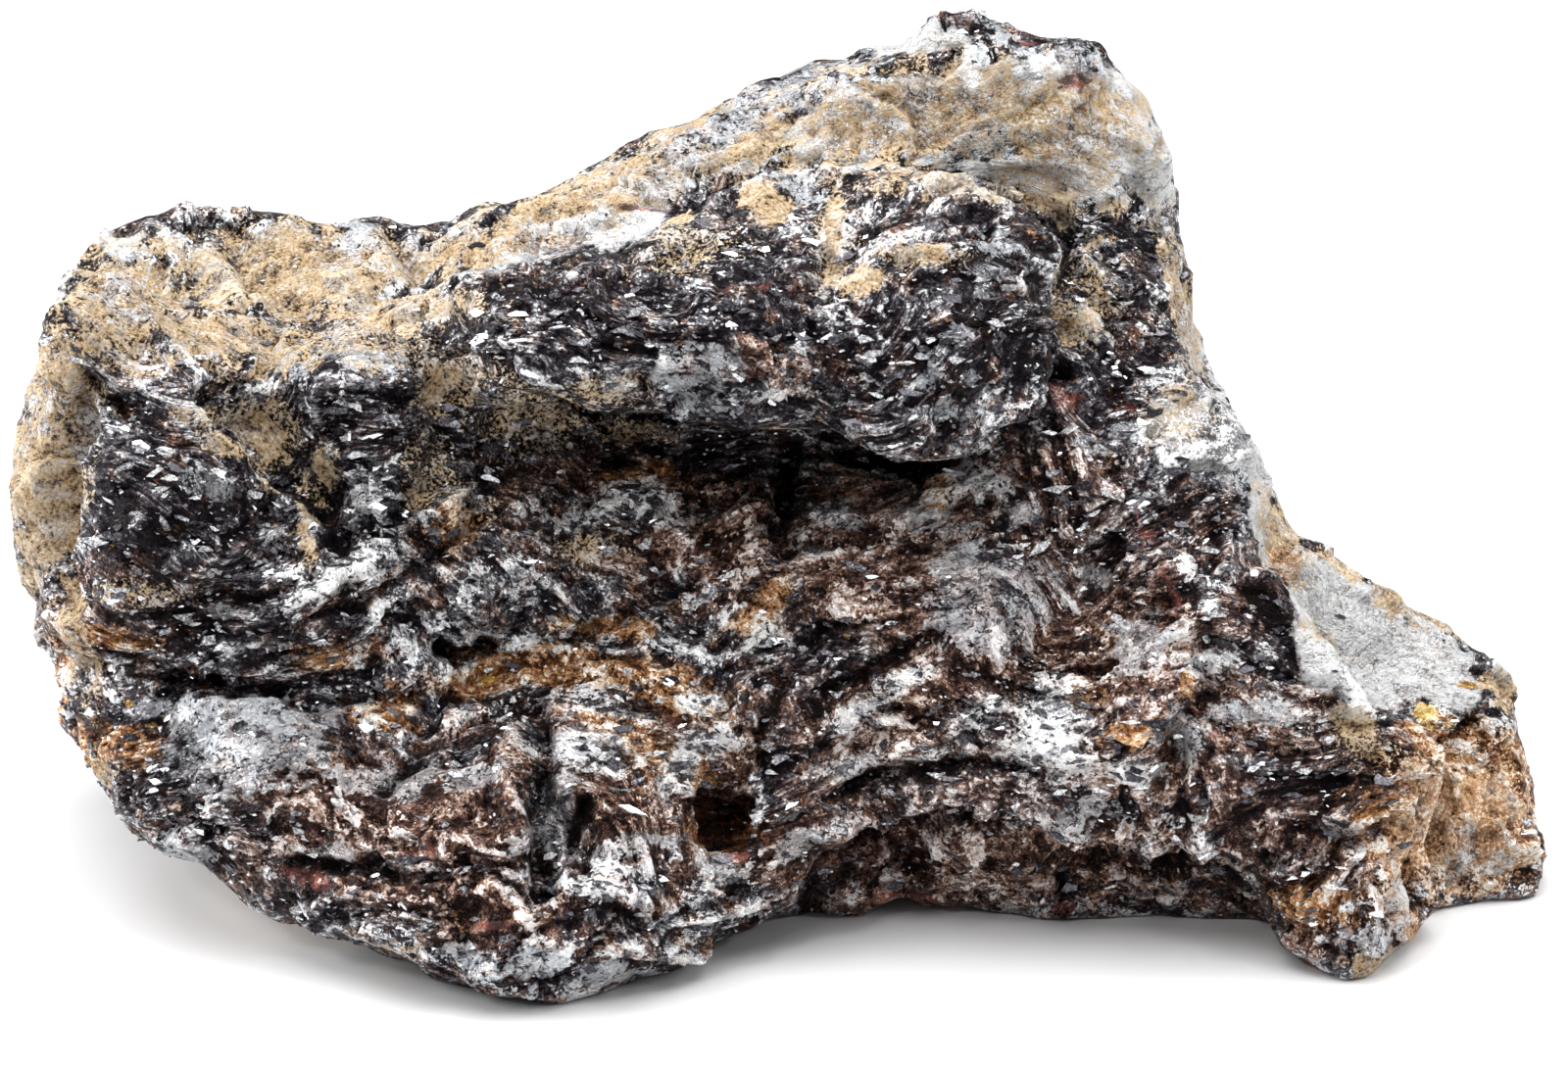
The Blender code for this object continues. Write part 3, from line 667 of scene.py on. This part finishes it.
def node(tree, kind, inputs=None, **settings):
    """A new node with its settings, and its inputs set to values or linked to sockets."""
    made = tree.nodes.new(kind)
    for key, value in settings.items():
        setattr(made, key, value)
    for key, value in (inputs or {}).items():
        if isinstance(value, bpy.types.NodeSocket):
            tree.links.new(value, made.inputs[key])
        else:
            made.inputs[key].default_value = value
    return made


# The mix node's own numbers for its share, its two colours and the colour that comes out
MIX_SHARE = 0
MIX_UNDER = 6
MIX_OVER = 7
MIX_RESULT = 2


def mixed(tree, share, under, over):
    """One colour laid over another by a share."""
    inputs = {MIX_SHARE: share, MIX_UNDER: under, MIX_OVER: over}
    made = node(tree, "ShaderNodeMix", inputs, data_type="RGBA")
    return made.outputs[MIX_RESULT]


def maths(tree, operation, first, second=0.0, third=0.0):
    """Arithmetic on numbers."""
    made = node(tree, "ShaderNodeMath", {0: first, 1: second, 2: third}, operation=operation)
    return made.outputs[0]


def times(tree, first, second):
    """One number times another."""
    return maths(tree, "MULTIPLY", first, second)


def vectors(tree, operation, first, second=(0, 0, 0), factor=1.0):
    """Arithmetic on vectors."""
    made = node(tree, "ShaderNodeVectorMath", {0: first, 1: second, 3: factor}, operation=operation)
    return made.outputs[0]


def ranged(tree, value, low, high, start=0.0, end=1.0):
    """A number taken from the range low to high into the range start to end, and held there."""
    made = node(tree, "ShaderNodeMapRange", {"Value": value, "From Min": low, "From Max": high,
                                             "To Min": start, "To Max": end})
    return made.outputs[0]


def stretched(tree, vector, factors):
    """A vector times one factor an axis."""
    made = node(tree, "ShaderNodeMapping", {"Vector": vector, "Scale": factors})
    return made.outputs[0]


def clouds(tree, vector, scale, detail, roughness):
    """Noise between 0 and 1, mostly near a half."""
    made = node(tree, "ShaderNodeTexNoise", {"Vector": vector, "Scale": scale, "Detail": detail,
                                             "Roughness": roughness})
    return made.outputs["Fac"]


def cells(tree, vector, **settings):
    """The outputs of a texture of cells, one for each unit of the vector."""
    return node(tree, "ShaderNodeTexVoronoi", {"Vector": vector, "Scale": 1.0}, **settings).outputs


def parts(tree, vector):
    """A vector's or a colour's three numbers."""
    return node(tree, "ShaderNodeSeparateXYZ", {0: vector}).outputs


def attribute(tree, name):
    """The three numbers that the mesh holds at each point under this name."""
    return node(tree, "ShaderNodeAttribute", attribute_name=name).outputs["Vector"]


def millimetres(tree):
    """Places on the object, in millimetres."""
    return stretched(tree, node(tree, "ShaderNodeTexCoord").outputs["Object"], (1 / MM, 1 / MM, 1 / MM))


NOISE_MIDDLE = 0.5
NOISE_SPREAD = 0.085


def in_spreads(tree, value):
    """Noise about its middle, counted in its own spreads: mostly between -2 and 2."""
    return maths(tree, "DIVIDE", maths(tree, "SUBTRACT", value, NOISE_MIDDLE), NOISE_SPREAD)


def even_level(tree, value):
    """An even chance between 0 and 1, brought to the same range as noise in its spreads."""
    return ranged(tree, value, 0.0, 1.0, -1.7, 1.7)


def tilts(tree, colour, amount):
    """A random colour turned into a random way, by an amount."""
    centred = vectors(tree, "SUBTRACT", colour, (0.5, 0.5, 0.5))
    return vectors(tree, "SCALE", centred, factor=amount)


def summed(tree, *terms):
    """The sum of values, each with its factor."""
    total = 0.0
    for value, factor in terms:
        total = maths(tree, "MULTIPLY_ADD", value, factor, total)
    return total


RAMP_REACH = 3.0


def shaded(tree, value, stops):
    """A colour for a value in spreads. Stops are values with their colours."""
    ramp = tree.nodes.new("ShaderNodeValToRGB")
    tree.links.new(ranged(tree, value, -RAMP_REACH, RAMP_REACH), ramp.inputs[0])
    elements = ramp.color_ramp.elements
    while len(elements) < len(stops):
        elements.new(0.5)
    for element, (level, colour) in zip(elements, stops):
        element.position = 0.5 + level / (2 * RAMP_REACH)
        element.color = (*colour, 1)
    return ramp.outputs[0]


# Colours by shine, from painted shade in the creases to painted glints on the crests

METAL_STOPS = [
    (-1.5, (0.003, 0.002, 0.003)), (-0.7, (0.011, 0.008, 0.011)), (0.0, (0.042, 0.038, 0.044)),
    (0.55, (0.14, 0.138, 0.15)), (1.0, (0.36, 0.365, 0.38)), (1.4, (0.82, 0.83, 0.85)),
    (1.9, (1.0, 1.0, 1.0)),
]
PLATE_STOPS = [
    (-1.6, (0.022, 0.020, 0.024)), (-0.9, (0.13, 0.13, 0.14)), (-0.2, (0.38, 0.397, 0.42)),
    (0.8, (0.54, 0.565, 0.59)), (2.0, (0.66, 0.69, 0.72)), (2.8, (1.0, 1.0, 1.0)),
]
PALE_AND_SHEEN_STOPS = [
    (-2.3, (0.12, 0.095, 0.085)), (-1.5, (0.33, 0.31, 0.30)), (-0.6, (0.53, 0.53, 0.53)),
    (0.6, (0.60, 0.605, 0.61)), (2.2, (0.72, 0.73, 0.74)),
]
RUST_STOPS = [
    (-1.5, (0.006, 0.003, 0.003)), (-0.8, (0.024, 0.011, 0.009)), (0.0, (0.095, 0.047, 0.032)),
    (0.6, (0.26, 0.140, 0.092)), (1.1, (0.45, 0.29, 0.22)), (1.6, (0.72, 0.60, 0.54)),
    (2.1, (1.0, 0.96, 0.94)),
]
AMBER_STOPS = [
    (-1.6, (0.022, 0.010, 0.006)), (-0.8, (0.13, 0.052, 0.020)), (0.0, (0.41, 0.195, 0.080)),
    (0.7, (0.64, 0.38, 0.20)), (1.2, (0.82, 0.68, 0.50)), (1.8, (1.0, 0.97, 0.92)),
]
RED_STOPS = [
    (-1.5, (0.020, 0.004, 0.003)), (-0.5, (0.075, 0.013, 0.009)), (0.5, (0.22, 0.050, 0.030)),
    (1.4, (0.40, 0.14, 0.10)), (2.1, (1.0, 0.90, 0.86)),
]
GOLD_STOPS = [
    (-1.5, (0.10, 0.045, 0.008)), (0.0, (0.46, 0.26, 0.045)), (1.5, (0.85, 0.66, 0.30)),
]
FROST_STOPS = [
    (-1.8, (0.035, 0.026, 0.024)), (-1.0, (0.16, 0.13, 0.12)), (-0.2, (0.40, 0.375, 0.36)),
    (0.7, (0.48, 0.465, 0.45)), (2.2, (0.64, 0.64, 0.64)),
]
STALE_STOPS = [
    (-1.6, (0.030, 0.025, 0.025)), (-0.6, (0.14, 0.125, 0.12)), (0.4, (0.34, 0.325, 0.31)),
    (2.0, (0.62, 0.61, 0.60)),
]
SAND_STOPS = [
    (-1.9, (0.022, 0.013, 0.008)), (-1.1, (0.13, 0.075, 0.036)), (-0.3, (0.36, 0.245, 0.125)),
    (0.6, (0.48, 0.36, 0.225)), (1.8, (0.60, 0.51, 0.39)),
]


# How many of each form go in a millimetre along the grain, across it and through it

ISLANDS = (0.36, 0.48, 0.45)
STREAKS = (0.7, 2.4, 1.6)
FIBRES = (0.35, 4.2, 2.4)
SCALES = (0.42, 0.64, 0.55)
CHIPS = (1.5, 2.3, 2.0)
SPECKS = (2.4, 3.2, 2.8)

# Widths and strengths that the material's parts share

CRACK_WIDTH = 0.07
CREST_HEIGHT = 0.35
STIR = 4.5
METAL_ROUGHNESS = 0.40
GLINT_GLOSS = 0.14
DULL_ROUGHNESS = 0.42
METAL_TILT = 0.7
CRUST_TILT = 0.25
BUMP_DEPTH = 0.3 * MM


def film(tree, value, outside, inside, noise_level, softness):
    """How much of a film covers each point: noise over a level that falls into its patches."""
    bias = ranged(tree, value, 0.2, 0.8, outside, inside)
    return ranged(tree, maths(tree, "ADD", noise_level, bias), -softness, softness)


def either(tree, *shares):
    """The largest of some shares."""
    most = shares[0]
    for share in shares[1:]:
        most = maths(tree, "MAXIMUM", most, share)
    return most


def laid_over(tree, colour, *films):
    """Films laid over a colour in turn, each with its share, its level and its stops."""
    for share, level, stops in films:
        colour = mixed(tree, share, colour, shaded(tree, level, stops))
    return colour


def without(tree, value, share, loss=1.0):
    """A value, less a part of it where a share covers it."""
    return times(tree, value, maths(tree, "MULTIPLY_ADD", share, -loss, 1.0))


def stone_material():
    """The stone's finish: fibrous black metal, paler plates, rust and amber films, and ochre crust, with
    painted highlights, glints, sheen and shade.
    """
    material = bpy.data.materials.new("hematite_surface")
    material.use_nodes = True
    tree = material.node_tree
    shader = tree.nodes["Principled BSDF"]
    place = millimetres(tree)
    grain = attribute(tree, "grain")
    in_ochre, in_amber, in_rust = parts(tree, attribute(tree, "crust"))
    in_plate_and_highlight, in_painted_highlight, in_black_and_shade = parts(tree, attribute(tree, "metal"))
    in_pale_and_sheen, in_grains, clusters = parts(tree, attribute(tree, "coat"))
    in_red, in_gold, crest_height_for_painted_light = parts(tree, attribute(tree, "stain_and_crest_light"))
    in_frost = parts(tree, attribute(tree, "frost"))[0]

    streaks = clouds(tree, stretched(tree, grain, STREAKS), 1.0, 4.0, 0.68)
    grit = clouds(tree, place, 3.4, 3.0, 0.7)
    streaks_level = in_spreads(tree, streaks)
    grit_level = in_spreads(tree, grit)
    mottle_level = in_spreads(tree, clouds(tree, place, 0.45, 5.0, 0.66))
    islands_level = in_spreads(tree, clouds(tree, stretched(tree, grain, ISLANDS), 1.0, 6.0, 0.66))

    # Ragged scales, each with its own shade and its own tilt, and smaller chips on them
    stir = node(tree, "ShaderNodeTexNoise", {"Vector": place, "Scale": 0.9, "Detail": 2.5, "Roughness": 0.7})
    stirred = vectors(tree, "ADD", grain, tilts(tree, stir.outputs["Color"], STIR))
    scale_places = stretched(tree, stirred, SCALES)
    scales = cells(tree, scale_places)["Color"]
    scale_level = even_level(tree, parts(tree, scales)[1])
    to_edge = cells(tree, scale_places, feature="DISTANCE_TO_EDGE")["Distance"]
    crack = ranged(tree, to_edge, 0.0, CRACK_WIDTH, -1.8, 0.0)
    chips = cells(tree, stretched(tree, stirred, CHIPS))["Color"]
    chip_level = even_level(tree, parts(tree, chips)[0])

    # Shine is the level of the metal, plain that of the plates and of the pale films and painted sheen. Both
    # are painted lighter on crests and darker in creases.
    crest_for_painted_light = ranged(tree, crest_height_for_painted_light, -CREST_HEIGHT, CREST_HEIGHT, -1.2, 1.2)
    # Painted highlights lift the shine to white in their patches
    painted_highlight = ranged(tree, in_painted_highlight, 0.2, 0.85)
    # Black metal and painted shade pull the shine down
    black_and_shade = ranged(tree, in_black_and_shade, 0.2, 0.85)
    # Where the black metal and painted shade lie, scales are hardly seen, and fibres are
    scaly = maths(tree, "MULTIPLY_ADD", black_and_shade, -0.5, 1.0)
    fibres = clouds(tree, stretched(tree, grain, FIBRES), 1.0, 3.0, 0.6)
    fibres_level = times(tree, in_spreads(tree, fibres), black_and_shade)
    broken = summed(tree, (scale_level, 0.6), (chip_level, 0.42), (crack, 0.5))
    shine = summed(tree, (islands_level, 0.42), (streaks_level, 0.34), (grit_level, 0.22), (crest_for_painted_light, 0.65),
                   (broken, scaly), (fibres_level, 0.5), (clusters, 0.5), (painted_highlight, 1.8),
                   (black_and_shade, -0.68), (0.27, 1.0))
    plain = summed(tree, (islands_level, 0.28), (streaks_level, 0.25), (grit_level, 0.35), (crest_for_painted_light, 0.4),
                   (chip_level, 0.3), (crack, 1.0), (0.15, 1.0))

    # Where each film lies: inside its patches, with an edge as ragged as its own noise
    crumbs = summed(tree, (mottle_level, 0.75), (grit_level, 0.5), (crest_for_painted_light, -0.3))
    sandy = summed(tree, (mottle_level, 0.35), (grit_level, 0.85))
    shards = summed(tree, (islands_level, 0.7), (scale_level, 0.7), (crest_for_painted_light, 0.5))
    dust = summed(tree, (mottle_level, 0.7), (grit_level, 0.4), (islands_level, 0.35))
    ochre = either(tree, film(tree, in_ochre, -2.7, 1.15, crumbs, 0.35),
                   film(tree, in_grains, -3.0, 0.15, sandy, 0.3))
    amber = film(tree, in_amber, -2.0, 2.0, crumbs, 0.8)
    rust = film(tree, in_rust, -0.6, 2.0, mottle_level, 1.0)
    red = film(tree, in_red, -3.2, 1.0, crumbs, 0.5)
    gold = film(tree, in_gold, -4.2, 1.2, crumbs, 0.5)
    # Plates, a few of them painted highlight on the tongue's rim
    plate_and_highlight = without(tree, film(tree, in_plate_and_highlight, -2.4, 1.3, shards, 0.3), black_and_shade, 0.6)
    frost = film(tree, in_frost, -3.2, -0.15, dust, 0.35)
    # Pale films and painted sheen
    pale_and_sheen = film(tree, in_pale_and_sheen, -4.0, 4.0, mottle_level, 0.6)

    # The films over the metal, from the lowest up, with less rust where plates or black metal and painted
    # shade show
    bare = summed(tree, (plate_and_highlight, -0.45), (black_and_shade, -0.4), (0.85, 1.0))
    colour = laid_over(
        tree, shaded(tree, shine, METAL_STOPS),
        (plate_and_highlight, summed(tree, (plain, 1.0), (scale_level, 0.5)), PLATE_STOPS),
        (times(tree, rust, bare), shine, RUST_STOPS),
        (times(tree, amber, 0.9), shine, AMBER_STOPS),
        (pale_and_sheen, plain, PALE_AND_SHEEN_STOPS),
        (painted_highlight, shine, METAL_STOPS))
    # Sand, painted lighter on crests and darker in creases
    sand = summed(tree, (mottle_level, 0.6), (grit_level, 0.7), (crest_for_painted_light, 0.5))
    sand_colour = laid_over(
        tree, shaded(tree, sand, SAND_STOPS),
        (times(tree, amber, 0.75), sand, AMBER_STOPS),
        (ranged(tree, islands_level, -0.1, 1.1, 0.0, 0.6), sand, STALE_STOPS))
    colour = laid_over(
        tree, mixed(tree, ochre, colour, sand_colour),
        (frost, summed(tree, (plain, 1.2), (scale_level, 0.5)), FROST_STOPS),
        (times(tree, red, 0.85), shine, RED_STOPS),
        (gold, shine, GOLD_STOPS))

    # Painted glints: a few small grains anywhere are painted white
    specks = cells(tree, stretched(tree, grain, SPECKS))
    chance = parts(tree, specks["Color"])[0]
    chance = maths(tree, "MULTIPLY_ADD", either(tree, ochre, plate_and_highlight), -0.05, chance)
    sparkle = times(tree, ranged(tree, chance, 0.95, 0.97),
                    ranged(tree, specks["Distance"], 0.42, 0.32))
    sparkle = times(tree, sparkle, ranged(tree, islands_level, -0.6, 0.4))
    colour = mixed(tree, sparkle, colour, (1.0, 1.0, 1.0, 1.0))

    # Crust and stains are dull, crests and grains glossy
    shiny = either(tree, sparkle, ranged(tree, shine, 1.2, 2.0))
    dull = without(tree, either(tree, red, gold, ochre), sparkle)
    metallic = without(tree, ranged(tree, shine, 0.3, 1.4, 0.9, 0.5), dull)
    metallic = without(tree, metallic, pale_and_sheen, 0.7)
    roughness = maths(tree, "MULTIPLY_ADD", shiny, -GLINT_GLOSS, METAL_ROUGHNESS)
    roughness = maths(tree, "MULTIPLY_ADD", dull, DULL_ROUGHNESS, roughness)
    roughness = maths(tree, "MULTIPLY_ADD", mottle_level, 0.03, roughness)
    tree.links.new(colour, shader.inputs["Base Color"])
    tree.links.new(metallic, shader.inputs["Metallic"])
    tree.links.new(roughness, shader.inputs["Roughness"])

    # Each small scale is tipped its own way, so that it catches the light alone
    amount = ranged(tree, dull, 0.0, 1.0, METAL_TILT, CRUST_TILT)
    tipped = vectors(tree, "ADD", tilts(tree, specks["Color"], amount), tilts(tree, scales, amount))
    outward = node(tree, "ShaderNodeNewGeometry").outputs["Normal"]
    tipped = vectors(tree, "NORMALIZE", vectors(tree, "ADD", outward, tipped))
    rough_height = summed(tree, (streaks, 1.3), (grit, 1.0))
    bump = node(tree, "ShaderNodeBump", {"Strength": 1.0, "Distance": BUMP_DEPTH, "Height": rough_height,
                                         "Normal": tipped})
    tree.links.new(bump.outputs[0], shader.inputs["Normal"])
    return material


# Loose metallic flakes that stand in the skin, measured in millimetres

FLAKE_COUNT = 8000
FLAKE_CORNERS = 5
FLAKE_TILT = 0.24
FLAKE_SWERVE = 0.5
SMALLEST_FLAKE = 0.12
FLAKE_GROWTH = 0.6
THINNEST_FLAKE = 0.06
FLAKE_LENGTH = 1.6
FLAKE_WIDTH = 0.6


def flake_places(mesh, chance):
    """Places for the flakes on the skin: middles in millimetres, and the ways out of the surface."""
    mesh.calc_loop_triangles()
    triangles = np.empty(len(mesh.loop_triangles) * 3, np.int32)
    mesh.loop_triangles.foreach_get("vertices", triangles)
    triangles = triangles.reshape(-1, 3)
    points = read_vectors(mesh.vertices, "co") / MM
    normals = read_vectors(mesh.vertices, "normal")
    crust = read_vectors(mesh.attributes["crust"].data, "vector")
    metal = read_vectors(mesh.attributes["metal"].data, "vector")
    coat = read_vectors(mesh.attributes["coat"].data, "vector")
    first, second, third = (points[triangles[:, k]] for k in range(3))
    area = np.linalg.norm(np.cross(second - first, third - first), axis=1)
    # Most of them on the painted highlight patches, more on black metal and painted shade, few on crust and
    # on pale films and painted sheen, and few along the outline
    wanted = 0.25 + 1.3 * smooth_step(0.2, 0.8, metal[:, 1]) + 0.5 * smooth_step(0.2, 0.8, metal[:, 2])
    wanted *= 1 - 0.9 * smooth_step(0.3, 0.6, crust[:, 0])
    wanted *= 1 - 0.95 * smooth_step(0.3, 0.6, coat[:, 0])
    wanted *= smooth_step(1.0, 3.0, points[:, 2])
    facing = normals @ TOWARD
    wanted *= 0.35 + 0.65 * smooth_step(-0.1, 0.3, facing)
    wanted *= 0.1 + 0.9 * smooth_step(0.1, 0.35, np.abs(facing))
    share = np.cumsum(area * wanted[triangles].mean(axis=1))
    picked = np.searchsorted(share, chance.uniform(0, share[-1], FLAKE_COUNT))
    part = chance.dirichlet((1, 1, 1), FLAKE_COUNT)[:, :, None]
    middles = (points[triangles[picked]] * part).sum(axis=1)
    outward = (normals[triangles[picked]] * part).sum(axis=1)
    return middles, unit(outward)


def flake_faces():
    """The faces of all flakes: a low and a high ring of corners each, and the sides between them."""
    low = range(FLAKE_CORNERS)
    pattern = [tuple(reversed(low)), tuple(corner + FLAKE_CORNERS for corner in low)]
    for corner in low:
        beside = (corner + 1) % FLAKE_CORNERS
        pattern.append((corner, beside, beside + FLAKE_CORNERS, corner + FLAKE_CORNERS))
    faces = []
    for flake in range(FLAKE_COUNT):
        start = flake * 2 * FLAKE_CORNERS
        faces.extend(tuple(start + corner for corner in face) for face in pattern)
    return faces


def build_flakes(skin):
    """Thin five-sided flakes, each tipped its own way and half sunk in the skin."""
    chance = np.random.default_rng(53)
    middles, outward = flake_places(skin.data, chance)
    up = unit(outward + FLAKE_TILT * chance.uniform(-1, 1, outward.shape))
    along = np.cross(up, UP_THE_FACE) + FLAKE_SWERVE * chance.uniform(-1, 1, up.shape)
    along = unit(along - (along * up).sum(axis=1)[:, None] * up)
    over = np.cross(up, along)
    reach = SMALLEST_FLAKE + FLAKE_GROWTH * chance.uniform(0, 1, FLAKE_COUNT) ** 4
    thickness = THINNEST_FLAKE + 0.05 * chance.uniform(0, 1, FLAKE_COUNT)
    low_ring = []
    high_ring = []
    for corner in range(FLAKE_CORNERS):
        angle = 2 * math.pi * (corner + chance.uniform(-0.3, 0.3, FLAKE_COUNT)) / FLAKE_CORNERS
        radius = reach * chance.uniform(0.4, 1.4, FLAKE_COUNT)
        flat = along * (FLAKE_LENGTH * radius * np.cos(angle))[:, None]
        flat = flat + over * (FLAKE_WIDTH * radius * np.sin(angle))[:, None]
        low_ring.append(middles + flat - up * thickness[:, None])
        high_ring.append(middles + 0.9 * flat + up * thickness[:, None])
    points = np.stack(low_ring + high_ring, axis=1)
    points[:, :, 2] = np.maximum(points[:, :, 2], 0.0)
    flakes = mesh_object("hematite_flakes", points.reshape(-1, 3), flake_faces())
    shade = chance.uniform(0, 1, FLAKE_COUNT) ** 2
    write_numbers(flakes.data, "shade", np.repeat(shade, 2 * FLAKE_CORNERS))
    return flakes


FLAKE_STOPS = [
    (-3.0, (0.03, 0.028, 0.034)), (-1.0, (0.14, 0.135, 0.15)), (0.8, (0.50, 0.51, 0.53)),
    (3.0, (1.0, 1.0, 1.0)),
]


def flake_material():
    """Bright grey metal, a little scratched, each flake its own shade."""
    material = bpy.data.materials.new("hematite_flake")
    material.use_nodes = True
    tree = material.node_tree
    shader = tree.nodes["Principled BSDF"]
    scratches = clouds(tree, millimetres(tree), 4.0, 4.0, 0.7)
    shade = parts(tree, attribute(tree, "shade"))[0]
    level = maths(tree, "ADD", ranged(tree, shade, 0.0, 1.0, -3.0, 2.5), in_spreads(tree, scratches))
    tree.links.new(shaded(tree, level, FLAKE_STOPS), shader.inputs["Base Color"])
    tree.links.new(ranged(tree, scratches, 0.35, 0.65, 0.18, 0.38), shader.inputs["Roughness"])
    shader.inputs["Metallic"].default_value = 0.7
    return material


# The two pieces that are seen in place of the solid

skin = build_skin()
skin.data.materials.append(stone_material())
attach(skin, "root")
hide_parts(STONE)
flakes = build_flakes(skin)
flakes.data.materials.append(flake_material())
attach(flakes, "root")
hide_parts(STONE)

# Floor, light and camera

FLOOR_REACH = 3000.0
FLOOR_COLOUR = (0.66, 0.66, 0.665, 1)
FLOOR_ROUGHNESS = 0.9
AIM = Vector((0, 0, 0.02))
WORLD_STRENGTH = 0.22

# Round lamps: name, place in metres, width in metres, power in watts
LAMPS = [
    ("top", (0.0, -0.05, 0.75), 1.0, 13.0),
    ("left_side", (-0.75, 0.16, 0.32), 0.4, 9.0),
    ("right_side", (0.75, 0.05, 0.4), 0.4, 3.4),
    ("left_key", (-0.4, -0.55, 0.6), 0.12, 1.5),
    ("right_key", (0.5, -0.4, 0.5), 0.12, 0.7),
]


def build_floor():
    """A wide, matt, nearly white floor."""
    corners = np.array([(-1, -1, 0), (1, -1, 0), (1, 1, 0), (-1, 1, 0)]) * FLOOR_REACH
    floor = mesh_object("floor", corners, [(0, 1, 2, 3)])
    white = bpy.data.materials.new("white_floor")
    white.use_nodes = True
    shader = white.node_tree.nodes["Principled BSDF"]
    shader.inputs["Base Color"].default_value = FLOOR_COLOUR
    shader.inputs["Roughness"].default_value = FLOOR_ROUGHNESS
    floor.data.materials.append(white)
    return floor


def turned(thing, facing):
    """Turn a lamp or a camera to look along a direction, upright."""
    thing.rotation_mode = "QUATERNION"
    thing.rotation_quaternion = facing.to_track_quat("-Z", "Y")


def build_lamp(name, place, width, power):
    """A round lamp that looks at the stone."""
    light = bpy.data.lights.new(name, "AREA")
    light.shape = "DISK"
    light.size = width
    light.energy = power
    lamp = bpy.data.objects.new(name, light)
    bpy.context.scene.collection.objects.link(lamp)
    lamp.location = place
    turned(lamp, AIM - Vector(place))


def build_world():
    """Even white light from all round."""
    world = bpy.data.worlds.new("studio")
    world.use_nodes = True
    bpy.context.scene.world = world
    background = world.node_tree.nodes["Background"]
    background.inputs["Color"].default_value = (1, 1, 1, 1)
    background.inputs["Strength"].default_value = WORLD_STRENGTH


def build_camera():
    """The photo's camera, and colours as they are."""
    camera = bpy.data.objects.new("camera", bpy.data.cameras.new("camera"))
    bpy.context.scene.collection.objects.link(camera)
    camera.location = Vector(TARGET + TOWARD * CAMERA_DISTANCE) * MM
    turned(camera, Vector(-TOWARD))
    camera.data.sensor_width = SENSOR
    camera.data.lens = FOCAL_PIXELS / PHOTO_WIDTH * SENSOR
    camera.data.clip_start = 0.01
    bpy.context.scene.camera = camera
    bpy.context.scene.view_settings.view_transform = "Standard"


floor = build_floor()
for lamp_settings in LAMPS:
    build_lamp(*lamp_settings)
build_world()
build_camera()
